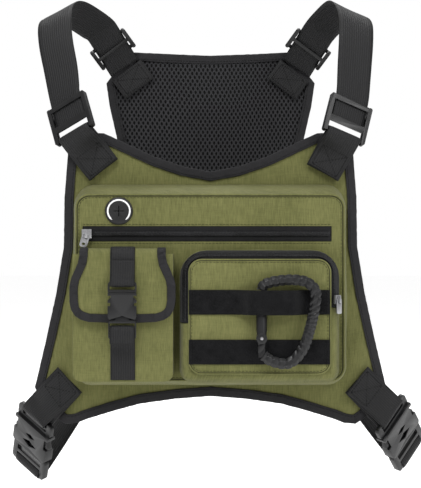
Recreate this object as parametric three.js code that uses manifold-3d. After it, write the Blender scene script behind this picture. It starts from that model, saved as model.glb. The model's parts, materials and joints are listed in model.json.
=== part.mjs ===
// Chest-rig vest: a padded front panel with three pockets, webbing over the shoulders to a mesh back pad,
// and waist webbing on side-release buckles. Millimetres. +Z is up and the front faces -Y.
// The origin is on the chest face of the front panel, in the middle.
import * as THREE from "three";
import { mergeVertices } from "three/addons/utils/BufferGeometryUtils.js";
import Module from "manifold-3d";

const wasm = await Module();
wasm.setup();

// ---- driving dimensions -------------------------------------------------------------------------
const GAP = 0.3; // between pieces that touch
const RUN = 0.5; // between pieces that slide or turn

const PANEL = { shell: 1, foam: 4, lining: 1, flatHalf: 130, wrap: 0.0065 };
const PANEL_FRONT = PANEL.shell + PANEL.foam + PANEL.lining + 2 * GAP;
const PANEL_HALF_WIDTHS = [[-118, 188], [-105, 187], [-58, 174], [-20, 165], [46, 154], [90, 154],
  [142, 150]];
const PANEL_TOP = [[0, 118], [0.26, 126], [0.46, 138], [0.73, 157], [0.8, 160], [0.9, 154], [1, 142]];
const PANEL_BOTTOM = [[0, -117], [0.1, -118], [0.4, -125], [0.68, -140], [0.82, -147], [0.92, -132],
  [1, -112]];
const BINDING = { leg: 8, tape: 1.2, play: 0.6 };
const TAB_LIFT = 3.6; // from the panel's front to the middle of a tab's inner layer, over the binding

const WEB = { wide: 38, narrow: 25, thick: 1.6 };

const POCKET = { left: -139, right: 138, bottom: -98, top: 94, depth: 50, radius: 14, wall: 1.6 };
// How much wider the gusset is where it meets the panel.
const POCKET_FLARE = { side: 6, top: 12, bottom: 9 };
const POCKET_BACK = -PANEL_FRONT - GAP; // where the pocket meets the panel, in the flat middle
const POCKET_FACE = POCKET_BACK - POCKET.depth; // outside of the pocket front

const ZIP = { left: -132, right: 125, z: 53.5, half: 8, chain: 5, proud: 1.8, tape: 1.2 };
const SLIDER = { length: 10, width: 9.5, plate: 2.2, x: -127.5 };
const PULL = { width: 8, length: 14, thick: 1.5, bar: 1.5, lean: 0.28 };

const PORT = { x: -94.5, z: 77, flange: 14.5, neck: 11.5, proud: 2.4, ring: 14 };

const FLAP_POUCH = { left: -140, right: -38, bottom: -97, top: 33, depth: 25, radius: 9, wall: 1.5 };
const FLAP = { z: 37, bottom: -35, thick: 1.6, halfSeam: 33, halfTop: 42, half: 52, corner: 20, over: 2.5 };

const ZIP_POUCH = {
  left: -31, right: 131, bottom: -98, top: 36.5, gusset: 19, face: 27, inset: 9, wall: 1.6,
};
const ZIP_POUCH_RADII = { top: 27, bottom: 13 };
const SLIDER_TIP = 0.0588; // the pouch slider leans this much further round than its zip (radians)
const BAND = { thick: 1.5, upper: -16, lower: -66.5, left: -22, right: 121 };

const CARABINER = { stand: 11.1, gateX: 51.5, pivotZ: -52, noseZ: -4, width: 11, deep: 9 };
const CARABINER_PIN = 1.6;
const CARABINER_CENTRES = [[-4], [1, 53], [4.6, 61], [7, 84], [4, 98], [-4, 105.5], [-16, 105.5],
  [-48, 98.5], [-65, 91.5], [-76, 81], [-77.5, 73], [-74, 60], [-69, 53.5]];

const BUCKLE_25 = { width: 29, length: 58, thick: 8, wall: 1.5, web: 25.6, bar: 3, openBack: true };
const BUCKLE_38 = { width: 54, length: 76, thick: 11, wall: 1.8, web: 39, bar: 4, openBack: false };
const POUCH_BUCKLE = { x: -89, top: 5 };

const BAR_REACH = 3.1; // from a lock bar's middle to the inner face of the tab round it
const LOCK = { half: 24.5, rail: 4.6, length: 52, thick: 6, lowerBar: -18 };
const GLIDE = { half: 24.5, rail: 4.6, length: 26, bar: 4 };

const PAD = { y: 172, mesh: 2.5, foam: 5, edge: 13 };
const PAD_HALF_WIDTHS = [[-5, 66], [10, 70], [90, 85], [170, 109], [222, 120], [236, 121]];
const PAD_TOP = [[0, 263], [0.45, 265], [0.74, 267], [1, 232]];
const PAD_BOTTOM = [[0, -2], [0.7, -5], [1, 10]];

// Where the hardware of each side hangs: the webbing is soft, so the two sides aren't mirror images.
const LEFT = {
  name: "left", side: -1,
  lock: [-148, -12, 175], lockAcross: [0.83, -0.35, 0.45], lockDown: [0.25, -0.45, -0.85],
  tabEnd: [-113.5, 122],
  strap: [[-161, 11, 230], [-168, 24, 262], [-171, 42, 288], [-168, 66, 302], [-155, 98, 305]],
  strapAcross: [[0.95, -0.2, 0.24], [0.97, -0.1, 0.2], [0.93, 0, 0.36], [0.87, 0, 0.48], [0.82, 0, 0.57]],
  buckle: [-187, 10, -140], across: [0.692, -0.531, -0.491], down: [-0.167, 0.541, -0.824],
  waistEnd: [-150, -102], waistAcross: [0.66, -0.75],
};
const RIGHT = {
  name: "right", side: 1,
  lock: [145, -12, 174], lockAcross: [-0.9, -0.25, 0.36], lockDown: [-0.27, -0.4, -0.875],
  tabEnd: [119, 119],
  strap: [[155, 10, 234], [158, 24, 266], [159, 42, 289], [154, 66, 303], [145, 98, 306]],
  strapAcross: [[-0.98, -0.2, 0.1], [-0.99, -0.1, 0.08], [-0.95, 0, 0.3], [-0.9, 0, 0.42],
    [-0.82, 0, 0.57]],
  buckle: [191, -1, -137], across: [-0.56, -0.4, -0.72], down: [0.34, 0.62, -0.7],
  waistEnd: [156, -102], waistAcross: [-0.59, -0.81],
};
const SIDES = [LEFT, RIGHT];
const REAR_TOP = [127, 134, 291]; // the straight rear run of the shoulder webbing, for the right side
const REAR_END = [101, 160, 250];
const REAR_ACROSS = [-0.8, 0, 0.6];
const WAIST_PATCH = [56, 159.8, 26]; // where the waist webbing is sewn to the back pad, for the right side

// ---- colours ------------------------------------------------------------------------------------
function material(color, roughness, metalness = 0) {
  return new THREE.MeshStandardMaterial({ color, roughness, metalness });
}

const OLIVE = material(0x70704a, 0.9);
const WEBBING = material(0x2b2b2d, 0.85);
const TAPE = material(0x2f2e33, 0.85);
const MESH = material(0x1c1c1c, 0.9);
const FOAM = material(0x3a3a3a, 0.95);
const PLASTIC = material(0x3a3a3c, 0.55);
const RUBBER = material(0x202022, 0.75);
const GUNMETAL = material(0x8c8c8c, 0.35, 0.9);

// ---- geometry helpers ---------------------------------------------------------------------------
const V = (x, y, z) => new THREE.Vector3(x, y, z);
const rig = new THREE.Group();

function addMesh(name, geometry, mat, parent = rig) {
  const mesh = new THREE.Mesh(geometry, mat);
  mesh.name = name;
  parent.add(mesh);
  return mesh;
}

// A smooth curve through [input, value] pairs.
function smooth(pairs, at) {
  const last = pairs.length - 1;
  if (at <= pairs[0][0]) return pairs[0][1];
  if (at >= pairs[last][0]) return pairs[last][1];
  const i = pairs.findIndex(([input]) => input > at) - 1;
  const slope = (k) => {
    const a = pairs[Math.max(0, k - 1)];
    const b = pairs[Math.min(last, k + 1)];
    return (b[1] - a[1]) / (b[0] - a[0]);
  };
  const [x0, y0] = pairs[i];
  const [x1, y1] = pairs[i + 1];
  const h = x1 - x0;
  const t = (at - x0) / h;
  return THREE.MathUtils.lerp(y0, y1, t * t * (3 - 2 * t))
    + h * t * (1 - t) * ((1 - t) * slope(i) - t * slope(i + 1));
}

// A closed geometry from vertices and triangles, turned so that its faces point out.
function closed(vertices, faces) {
  let volume = 0;
  for (const [a, b, c] of faces) volume += vertices[a].dot(vertices[b].clone().cross(vertices[c]));
  const index = faces.flatMap(([a, b, c]) => (volume < 0 ? [a, c, b] : [a, b, c]));
  return new THREE.BufferGeometry().setFromPoints(vertices).setIndex(index);
}

// Sections of the same number of points, joined in order. Flat gives the section's shape for the end caps.
function sweep(sections, flat = null) {
  const n = sections[0].length;
  const rows = flat ? sections.length - 1 : sections.length;
  const at = (i, j) => (i % sections.length) * n + (j % n);
  const faces = [];
  for (let i = 0; i < rows; i++) {
    for (let j = 0; j < n; j++) {
      faces.push([at(i, j), at(i, j + 1), at(i + 1, j + 1)], [at(i, j), at(i + 1, j + 1), at(i + 1, j)]);
    }
  }
  if (flat) {
    const area = (loop) => THREE.ShapeUtils.area(loop);
    for (const triangle of THREE.ShapeUtils.triangulateShape(flat, [])) {
      const inOrder = area(triangle.map((k) => flat[k])) * area(flat) > 0;
      const [a, b, c] = inOrder ? triangle : [...triangle].reverse();
      faces.push([at(0, a), at(0, c), at(0, b)], [at(rows, a), at(rows, b), at(rows, c)]);
    }
  }
  return closed(sections.flat(), faces);
}

// A plate between two grids of points: outer(i, j) and inner(i, j).
function gridPlate(columns, rows, outer, inner) {
  const side = columns * rows;
  const vertices = [];
  for (const point of [outer, inner]) {
    for (let i = 0; i < columns; i++) {
      for (let j = 0; j < rows; j++) vertices.push(point(i, j));
    }
  }
  const at = (i, j) => i * rows + j;
  const faces = [];
  const quad = (a, b, c, d) => faces.push([a, b, c], [a, c, d]);
  for (let i = 0; i < columns - 1; i++) {
    for (let j = 0; j < rows - 1; j++) {
      quad(at(i, j), at(i + 1, j), at(i + 1, j + 1), at(i, j + 1));
      quad(side + at(i, j), side + at(i, j + 1), side + at(i + 1, j + 1), side + at(i + 1, j));
    }
  }
  const rim = [];
  for (let i = 0; i < columns; i++) rim.push(at(i, 0));
  for (let j = 1; j < rows; j++) rim.push(at(columns - 1, j));
  for (let i = columns - 2; i >= 0; i--) rim.push(at(i, rows - 1));
  for (let j = rows - 2; j > 0; j--) rim.push(at(0, j));
  rim.forEach((a, k) => {
    const b = rim[(k + 1) % rim.length];
    quad(a, side + a, side + b, b);
  });
  return closed(vertices, faces);
}

// Flat webbing along points, with the direction across it at each.
function ribbon(points, across, width, thick) {
  const rectangle = [[-1, -1], [1, -1], [1, 1], [-1, 1]];
  const sections = points.map((point, i) => {
    const next = points[Math.min(i + 1, points.length - 1)];
    const along = next.clone().sub(points[Math.max(i - 1, 0)]).normalize();
    const wide = across[i].clone().addScaledVector(along, -across[i].dot(along)).normalize();
    const out = along.clone().cross(wide);
    return rectangle.map(([a, b]) => point.clone().addScaledVector(wide, (a * width) / 2)
      .addScaledVector(out, (b * thick) / 2));
  });
  return sweep(sections, rectangle.map(([a, b]) => new THREE.Vector2(a, b)));
}

// Points and directions interpolated by smooth curves, in an even number of steps.
function smoothRun(points, across, steps) {
  const path = new THREE.CatmullRomCurve3(points, false, "centripetal");
  const turn = new THREE.CatmullRomCurve3(across);
  const shares = Array.from({ length: steps + 1 }, (_, i) => i / steps);
  return [shares.map((t) => path.getPoint(t)), shares.map((t) => turn.getPoint(t).normalize())];
}

// A flat outline in X and Z with holes, from y = front back to front + thick.
function plate(shape, front, thick, curveSegments = 6) {
  return new THREE.ExtrudeGeometry(shape, { depth: thick, bevelEnabled: false, curveSegments })
    .rotateX(Math.PI / 2).translate(0, front + thick, 0);
}

function roundedShape(left, right, bottom, top, radius, Path = THREE.Shape) {
  const r = Math.min(radius, (right - left) / 2 - 0.01, (top - bottom) / 2 - 0.01);
  return new Path().moveTo(left + r, bottom).lineTo(right - r, bottom)
    .absarc(right - r, bottom + r, r, -Math.PI / 2, 0, false).lineTo(right, top - r)
    .absarc(right - r, top - r, r, 0, Math.PI / 2, false).lineTo(left + r, top)
    .absarc(left + r, top - r, r, Math.PI / 2, Math.PI, false).lineTo(left, bottom + r)
    .absarc(left + r, bottom + r, r, Math.PI, 1.5 * Math.PI, false);
}

const roundedHole = (...sizes) => roundedShape(...sizes, THREE.Path);
const block = (x0, x1, y0, y1, z0, z1) => new THREE.BoxGeometry(x1 - x0, y1 - y0, z1 - z0)
  .translate((x0 + x1) / 2, (y0 + y1) / 2, (z0 + z1) / 2);

// Booleans: a geometry as a solid and back.
function solid(geometry) {
  const bare = geometry.clone();
  bare.deleteAttribute("normal");
  bare.deleteAttribute("uv");
  const merged = mergeVertices(bare, 1e-4);
  return new wasm.Manifold(new wasm.Mesh({
    numProp: 3,
    vertProperties: merged.attributes.position.array,
    triVerts: new Uint32Array(merged.index.array),
  }));
}

function geometryOf(made) {
  const mesh = made.getMesh();
  return new THREE.BufferGeometry()
    .setAttribute("position", new THREE.BufferAttribute(mesh.vertProperties, 3))
    .setIndex(new THREE.BufferAttribute(mesh.triVerts, 1));
}

function joinAndCut(joined, cuts = []) {
  const whole = joined.map(solid).reduce((a, b) => a.add(b));
  return geometryOf(cuts.map(solid).reduce((a, b) => a.subtract(b), whole));
}

// A rounded rectangle as a loop of points with their outward directions, with straight sides divided.
function roundedLoop(left, right, bottom, top, radiusBottom, radiusTop, cornerSteps = 5, sideSteps = 6) {
  const loop = [];
  const corners = [
    [right - radiusBottom, bottom + radiusBottom, radiusBottom, -0.5],
    [right - radiusTop, top - radiusTop, radiusTop, 0],
    [left + radiusTop, top - radiusTop, radiusTop, 0.5],
    [left + radiusBottom, bottom + radiusBottom, radiusBottom, 1],
  ];
  corners.forEach(([cx, cz, r, start], k) => {
    for (let i = 0; i <= cornerSteps; i++) {
      const angle = (start + (0.5 * i) / cornerSteps) * Math.PI;
      const out = new THREE.Vector2(Math.cos(angle), Math.sin(angle));
      loop.push({ x: cx + r * out.x, z: cz + r * out.y, out });
    }
    const a = loop[loop.length - 1];
    const [nx, nz, nr, next] = corners[(k + 1) % 4];
    const b = { x: nx + nr * Math.cos(next * Math.PI), z: nz + nr * Math.sin(next * Math.PI) };
    for (let i = 1; i < sideSteps; i++) {
      const t = i / sideSteps;
      loop.push({ x: a.x + (b.x - a.x) * t, z: a.z + (b.z - a.z) * t, out: a.out });
    }
  });
  return loop;
}

// ---- front panel --------------------------------------------------------------------------------
const panelBend = (x) => PANEL.wrap * Math.max(0, Math.abs(x) - PANEL.flatHalf) ** 2;

// A point of an outline that is given by its half widths, its top and its bottom.
function outlinePoint(halfWidths, top, bottom, u, v) {
  const z = THREE.MathUtils.lerp(smooth(bottom, Math.abs(u)), smooth(top, Math.abs(u)), v);
  return new THREE.Vector2(u * smooth(halfWidths, z), z);
}

const panelPoint = (u, v) => outlinePoint(PANEL_HALF_WIDTHS, PANEL_TOP, PANEL_BOTTOM, u, v);
const padPoint = (u, v) => outlinePoint(PAD_HALF_WIDTHS, PAD_TOP, PAD_BOTTOM, u, v);
const PANEL_COLUMNS = [-1, -0.96, -0.92, -0.87, -0.82, -0.76, -0.7, -0.64, -0.55, -0.4, -0.2, 0, 0.2, 0.4,
  0.55, 0.64, 0.7, 0.76, 0.82, 0.87, 0.92, 0.96, 1];
const PANEL_ROWS = [0, 0.2, 0.4, 0.6, 0.8, 1];

function layer(point, columns, rows, front, back, bend) {
  const at = (y) => (i, j) => {
    const p = point(columns[i], rows[j]);
    return V(p.x, bend(p.x) + y, p.y);
  };
  return gridPlate(columns.length, rows.length, at(front), at(back));
}

// The border of such an outline as a loop of points, going round it once.
function border(point, columns, rows) {
  const loop = columns.map((u) => point(u, 0));
  rows.slice(1).forEach((v) => loop.push(point(1, v)));
  [...columns].reverse().slice(1).forEach((u) => loop.push(point(u, 1)));
  [...rows].reverse().slice(1, -1).forEach((v) => loop.push(point(-1, v)));
  return loop;
}

// Tape folded over an edge: the profile is a C open towards the sheet, with the distance out as its x.
function foldedTape(front, back) {
  const { leg, tape, play } = BINDING;
  return [[-leg, back + play + tape], [play + tape, back + play + tape], [play + tape, front - play - tape],
    [-leg, front - play - tape], [-leg, front - play], [play, front - play], [play, back + play],
    [-leg, back + play]]
    .map(([x, y]) => new THREE.Vector2(x, y));
}

function bindingRound(loop, front, back, bend) {
  const profile = foldedTape(front, back);
  const sections = loop.map((p, i) => {
    const before = loop[(i - 1 + loop.length) % loop.length];
    const after = loop[(i + 1) % loop.length];
    const out = new THREE.Vector2(after.y - before.y, before.x - after.x).normalize();
    return profile.map((q) => {
      const x = p.x + out.x * q.x;
      return V(x, bend(x) + q.y, p.y + out.y * q.x);
    });
  });
  return sweep(sections);
}

function frontPanel() {
  const layers = [["panel_lining", PANEL.lining, OLIVE], ["panel_foam", PANEL.foam, FOAM],
    ["panel_shell", PANEL.shell, OLIVE]];
  let back = 0;
  for (const [name, thick, mat] of layers) {
    addMesh(name, layer(panelPoint, PANEL_COLUMNS, PANEL_ROWS, back - thick, back, panelBend), mat);
    back -= thick + GAP;
  }
  const loop = border(panelPoint, PANEL_COLUMNS, PANEL_ROWS);
  addMesh("panel_binding", bindingRound(loop, -PANEL_FRONT, 0, panelBend), TAPE);
}

// ---- main pocket --------------------------------------------------------------------------------
function mainPocket() {
  const { left, right, bottom, top, radius, wall } = POCKET;
  const loop = roundedLoop(left, right, bottom, top, radius, radius);
  const frontY = POCKET_FACE + wall + GAP;
  const sections = loop.map(({ x, z, out }) => {
    const upright = out.y > 0 ? POCKET_FLARE.top : POCKET_FLARE.bottom;
    const front = (offset) => V(x + out.x * offset, frontY, z + out.y * offset);
    const back = (offset) => {
      const wide = x + out.x * (POCKET_FLARE.side + offset);
      return V(wide, panelBend(wide) + POCKET_BACK, z + out.y * (upright + offset));
    };
    return [back(0), front(0), front(-wall), back(-wall)];
  });
  addMesh("main_pocket_gusset", sweep(sections), OLIVE);

  const face = roundedShape(left, right, bottom, top, radius);
  face.holes.push(roundedHole(ZIP.left, ZIP.right, ZIP.z - ZIP.half, ZIP.z + ZIP.half, 0.2));
  face.holes.push(new THREE.Path().absarc(PORT.x, PORT.z, PORT.neck + GAP, 0, 2 * Math.PI, true));
  addMesh("main_pocket_front", plate(face, POCKET_FACE, wall, 14), OLIVE);
}

function mainZip() {
  const front = POCKET_FACE + (POCKET.wall - ZIP.tape) / 2;
  const left = ZIP.left + GAP;
  const right = ZIP.right - GAP;
  const chain = ZIP.chain / 2;
  const edge = ZIP.half - GAP;
  const tape = (low, high) => block(left, right, front, front + ZIP.tape, ZIP.z + low, ZIP.z + high);
  addMesh("main_zip_tape_upper", tape(GAP / 2, edge), TAPE);
  addMesh("main_zip_tape_lower", tape(-edge, -GAP / 2), TAPE);
  const coilBack = front - GAP;
  const coilFront = coilBack - ZIP.proud;
  const coil = block(left + 1, right - 1, coilFront, coilBack, ZIP.z - chain, ZIP.z + chain);
  addMesh("main_zip_coil", coil, TAPE);
  mainZipSlider(V(SLIDER.x, coilBack, ZIP.z));
}

// A bail that stands on a slider's front face, at y = front, and the eye through it.
function bail(front, middle, rise, half) {
  const wall = 1.1;
  return {
    loop: block(-1.2, 1.2, front - rise, front + 0.1, middle - half, middle + half),
    eye: block(-2, 2, front - rise + wall, front - 0.01, middle - half + wall, middle + half - wall),
  };
}

// A slider that straddles the coil from the front, and a pull that hangs from its bail, a little askew.
// Its own X runs along the zip and its own Z across it. The pull hangs along its own -Z.
function mainZipSlider(place) {
  const group = new THREE.Group();
  group.position.copy(place);
  rig.add(group);
  const { length, width, plate: thick } = SLIDER;
  const under = -ZIP.proud - RUN;
  const front = under - thick;
  const inner = ZIP.chain / 2 + RUN;
  const { loop, eye } = bail(front, 0, 3.6, 4);
  const half = length / 2;
  const body = [block(-half, half, front, under, -width / 2, width / 2),
    block(-half, half, under - 0.1, -RUN, inner, width / 2),
    block(-half, half, under - 0.1, -RUN, -width / 2, -inner), loop];
  addMesh("main_zip_slider", joinAndCut(body, [eye]), GUNMETAL, group);

  const hang = new THREE.Group();
  hang.position.set(0, front - 1.3, 0);
  hang.rotation.y = PULL.lean;
  group.add(hang);
  const { width: wide, length: long, thick: flat, bar } = PULL;
  const tag = roundedShape(-wide / 2, wide / 2, -long, bar / 2, 2);
  tag.holes.push(roundedHole(-2.6, 2.6, -bar / 2 - 4.6, -bar / 2, 0.4));
  tag.holes.push(roundedHole(-1.6, 1.6, -long + 2, -long + 4.5, 1));
  addMesh("main_zip_pull", plate(tag, -flat / 2, flat, 3), GUNMETAL, hang);
}

function earphonePort() {
  const { flange, neck, proud, ring } = PORT;
  const behind = POCKET.wall + GAP + 2;
  const profile = [[0, -proud], [flange - 4, -proud + 0.6], [flange - 2, -proud],
    [flange - 0.4, -proud + 0.5], [flange, -GAP], [neck, -GAP], [neck, behind], [0, behind]]
    .map(([r, y]) => new THREE.Vector2(r, y));
  const turned = new THREE.LatheGeometry(profile, 28);
  const slits = [block(-5.5, 5.5, -9, 9, -0.4, 0.4), block(-0.4, 0.4, -9, 9, -5.5, 5.5)];
  const place = (geometry) => geometry.translate(PORT.x, POCKET_FACE, PORT.z);
  addMesh("earphone_port", place(joinAndCut([turned], slits)), RUBBER);
  const washer = new THREE.Shape().absarc(0, 0, ring, 0, 2 * Math.PI, false);
  washer.holes.push(new THREE.Path().absarc(0, 0, neck + GAP, 0, 2 * Math.PI, true));
  addMesh("port_backing_ring", place(plate(washer, POCKET.wall + GAP, 1.5, 10)), RUBBER);
}

// ---- flap pouch ---------------------------------------------------------------------------------
const FLAP_POUCH_BACK = POCKET_FACE - GAP;
const FLAP_POUCH_FACE = FLAP_POUCH_BACK - FLAP_POUCH.depth;
const FLAP_POUCH_MIDDLE = (FLAP_POUCH.left + FLAP_POUCH.right) / 2;
const FLAP_BACK = FLAP_POUCH_BACK - FLAP.thick; // the seam of the flap, and its hinge
const FLAP_FACE = FLAP_POUCH_FACE - FLAP.over; // the chest side of the hanging part

function flapPouchBody() {
  const { left, right, bottom, top, radius, wall } = FLAP_POUCH;
  const beyond = top + 3 * radius;
  const whole = roundedShape(left, right, bottom, top + radius, radius);
  const outer = plate(whole, FLAP_POUCH_FACE, FLAP_POUCH.depth);
  const hollow = roundedShape(left + wall, right - wall, bottom + wall, beyond, radius - wall);
  const inner = plate(hollow, FLAP_POUCH_FACE + wall, FLAP_POUCH.depth);
  const above = block(left - 1, right + 1, FLAP_POUCH_FACE - 1, FLAP_POUCH_BACK + 1, top, beyond);
  addMesh("flap_pouch_body", joinAndCut([outer], [inner, above]), OLIVE);
}

// The flap goes forward from its seam over the pouch and hangs down its front, round a soft edge.
function flapPath(drop) {
  const soft = 6;
  const path = [[FLAP_BACK, FLAP.z], [FLAP_FACE + soft, FLAP.z]];
  for (let i = 1; i <= 4; i++) {
    const angle = (i / 4) * (Math.PI / 2);
    path.push([FLAP_FACE + soft - soft * Math.sin(angle), FLAP.z - soft + soft * Math.cos(angle)]);
  }
  for (let i = 1; i <= 6; i++) path.push([FLAP_FACE, THREE.MathUtils.lerp(FLAP.z - soft, drop, i / 6)]);
  return path;
}

const FLAP_COLUMNS = [-1, -0.97, -0.9, -0.8, -0.65, -0.3, 0.3, 0.65, 0.8, 0.9, 0.97, 1];
const flapDrop = (u) => FLAP.bottom + FLAP.corner * (1 - Math.sqrt(1 - Math.abs(u) ** 6));

// A point of the flap's chest side, or of its outer side where lift is the thickness.
function flapPoint(u, j, lift) {
  const path = flapPath(flapDrop(u));
  const [y, z] = path[j];
  const before = path[Math.max(0, j - 1)];
  const after = path[Math.min(path.length - 1, j + 1)];
  const along = new THREE.Vector2(after[0] - before[0], after[1] - before[1]).normalize();
  const widening = THREE.MathUtils.smoothstep(j, 5, 9);
  const half = j === 0 ? FLAP.halfSeam : THREE.MathUtils.lerp(FLAP.halfTop, FLAP.half, widening);
  return V(FLAP_POUCH_MIDDLE + u * half, y + along.y * lift, z - along.x * lift);
}

function flap() {
  const rows = flapPath(0).length;
  const at = (lift) => (i, j) => flapPoint(FLAP_COLUMNS[i], j, lift);
  addMesh("pouch_flap", gridPlate(FLAP_COLUMNS.length, rows, at(0), at(FLAP.thick)), OLIVE);

  const edge = [];
  for (let j = 2; j < rows; j++) edge.push([-1, j]);
  FLAP_COLUMNS.slice(1, -1).forEach((u) => edge.push([u, rows - 1]));
  for (let j = rows - 1; j >= 2; j--) edge.push([1, j]);
  const profile = foldedTape(0, FLAP.thick);
  const centre = V(FLAP_POUCH_MIDDLE, 0, 0);
  const places = edge.map(([u, j]) => [flapPoint(u, j, 0), flapPoint(u, j, 1).sub(flapPoint(u, j, 0))]);
  const sections = places.map(([point, lift], i) => {
    const before = places[Math.max(0, i - 1)][0];
    const after = places[Math.min(places.length - 1, i + 1)][0];
    const out = after.clone().sub(before).cross(lift).normalize();
    const outward = point.clone().sub(centre).setY(0);
    if (out.dot(outward) < 0) out.negate();
    return profile.map((q) => point.clone().addScaledVector(out, q.x * 0.85).addScaledVector(lift, q.y));
  });
  addMesh("flap_binding", sweep(sections, profile), TAPE);
}

// Webbing over the flap, down to the buckle's top bar, round it and back up against itself.
function flapWebbing(barY, barZ) {
  const lift = FLAP.thick + GAP + WEB.thick / 2;
  const path = flapPath(barZ + 16);
  const down = path.slice(1).map(([y, z], i) => {
    const before = path[i];
    const along = new THREE.Vector2(y - before[0], z - before[1]).normalize();
    return V(POUCH_BUCKLE.x, y + along.y * lift, z - along.x * lift);
  });
  const hangY = FLAP_FACE - lift;
  const round = [[5, 7], [2.8, 2], [2.9, -1.4], [1.7, -3], [0, -3.5], [-1.7, -3], [-2.9, -1.4], [-2.8, 2],
    [3, 8.5]].map(([y, z]) => V(POUCH_BUCKLE.x, barY + y, barZ + z));
  const back = [14, 23].map((z) => V(POUCH_BUCKLE.x, hangY - WEB.thick - RUN, barZ + z));
  const points = [...down, ...round, ...back];
  const across = points.map(() => V(1, 0, 0));
  addMesh("flap_webbing", ribbon(points, across, WEB.narrow, WEB.thick), WEBBING);
}

// Webbing up the pouch, through the male half's upper slot and down in front of its two lower bars.
function pouchWebbing(buckleY, barZ) {
  const y = FLAP_POUCH_FACE - GAP - WEB.thick / 2;
  const behind = buckleY + 3.1;
  const ahead = buckleY - 3.1;
  const points = [[y, FLAP_POUCH.bottom + 2], [y, barZ - 20], [y - 1, barZ - 17], [behind + 1, barZ - 10],
    [behind, barZ - 7], [behind, barZ + 1.5], [behind - 1.3, barZ + 3.4], [buckleY, barZ + 4],
    [ahead + 1.3, barZ + 3.4], [ahead, barZ + 1.5], [ahead, barZ - 14]]
    .map(([py, pz]) => V(POUCH_BUCKLE.x, py, pz));
  const across = points.map(() => V(1, 0, 0));
  addMesh("pouch_webbing", ribbon(points, across, WEB.narrow, WEB.thick), WEBBING);
}

// ---- side-release buckles -----------------------------------------------------------------------
// In the buckle's own frame the female half's webbing bar is at the top, the male half enters from below,
// and -Y is the outer face. The middle of the thickness is y = 0 and the top edge is z = 0.
function buckleSizes(size) {
  const half = size.width / 2;
  const face = size.thick / 2;
  const inner = face - size.wall - RUN; // half thickness of the male half
  const slot = size.bar * 1.7;
  const shoulder = -(size.bar + slot + size.bar); // where the female half's sleeve begins
  const mouth = -size.length * 0.66;
  const baseTop = mouth - RUN;
  const root = mouth + RUN; // where the prongs bend
  const side = size.width * 0.07; // the female half's side rails
  const prong = size.width * 0.1;
  const prongOut = half - side - RUN; // outside of the prong's arm
  const windowTop = shoulder - size.length * 0.05;
  const windowBottom = mouth + size.length * 0.24;
  const play = size.openBack ? 3 : RUN; // under the catch
  return {
    half, face, inner, slot, shoulder, mouth, baseTop, root, side, prong, prongOut, windowTop, windowBottom,
    play,
  };
}

// Both ends of the male half's slots, from the bottom up.
function maleSlots(size) {
  const low = -size.length;
  const step = (buckleSizes(size).baseTop - low - 3 * size.bar) / 2;
  return [0, 1].map((k) => low + size.bar + k * (step + size.bar)).map((z) => [z, z + step]);
}

const shapeOf = (corners) => new THREE.Shape(corners.map(([x, z]) => new THREE.Vector2(x, z)));

function femaleHalf(size) {
  const s = buckleSizes(size);
  const { half, face } = s;
  const skin = size.wall;
  const cavityBack = size.openBack ? face + 1 : face - skin;
  const thin = face * 0.42;
  const outline = shapeOf([[-half, s.mouth + 3], [-half * 0.9, s.mouth], [-half * 0.3, s.mouth + 2.5],
    [0, s.mouth + 4], [half * 0.3, s.mouth + 2.5], [half * 0.9, s.mouth], [half, s.mouth + 3],
    [half, s.shoulder], [-half, s.shoulder]]);
  const frame = roundedShape(-half, half, s.shoulder - 1, 0, size.bar);
  frame.holes.push(roundedHole(-size.web / 2, size.web / 2, -size.bar - s.slot, -size.bar, 1));
  const opening = half - s.side;
  const cavity = block(-opening, opening, -face + skin, cavityBack, s.mouth - 1, s.shoulder - skin);
  const windows = [-1, 1].map((k) => {
    const [low, high] = [k * (half + 1), k * (opening - 1)].sort((a, b) => a - b);
    return block(low, high, -face - 1, face + 1, s.windowBottom, s.windowTop);
  });
  // An open-backed half leaves the male half backwards, so its sides end soon behind the prongs.
  const openings = size.openBack
    ? [block(-half - 1, half + 1, 1.5, face + 1, s.mouth - 1, s.shoulder)]
    : [viewHole(size, s, 0.42, 0.09), viewHole(size, s, 0.7, 0.13)];
  const body = [plate(outline, -face, size.thick), plate(frame, -thin, 2 * thin)];
  return joinAndCut(body, [cavity, ...windows, ...openings]);
}

// An opening through both faces of the sleeve, a share of its length down, that shows the guide inside.
function viewHole(size, s, share, spread) {
  const z = THREE.MathUtils.lerp(s.shoulder, s.mouth, share);
  const w = size.width * spread * 1.6;
  const h = size.length * spread * 0.42;
  return plate(shapeOf([[-w, z], [0, z - h], [w, z], [0, z + h]]), -size.thick, 2 * size.thick);
}

function maleHalf(size) {
  const s = buckleSizes(size);
  const baseHalf = s.half - 0.5;
  const base = roundedShape(-baseHalf, baseHalf, -size.length, s.baseTop, size.bar);
  for (const [low, high] of maleSlots(size)) {
    base.holes.push(roundedHole(-size.web / 2, size.web / 2, low, high, 0.8));
  }
  const neckHalf = s.prongOut - s.prong - 2.2; // leaves the prongs room to bend
  const neckTop = s.mouth + size.length * 0.06;
  const neck = block(-neckHalf, neckHalf, -s.inner, s.inner, s.baseTop - 1, neckTop);
  const guideHalf = size.width * 0.045;
  const guide = block(-guideHalf, guideHalf, -s.inner * 0.7, s.inner * 0.7, s.mouth, s.windowTop - 2);
  return joinAndCut([plate(base, -s.inner, 2 * s.inner), neck, guide]);
}

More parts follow.
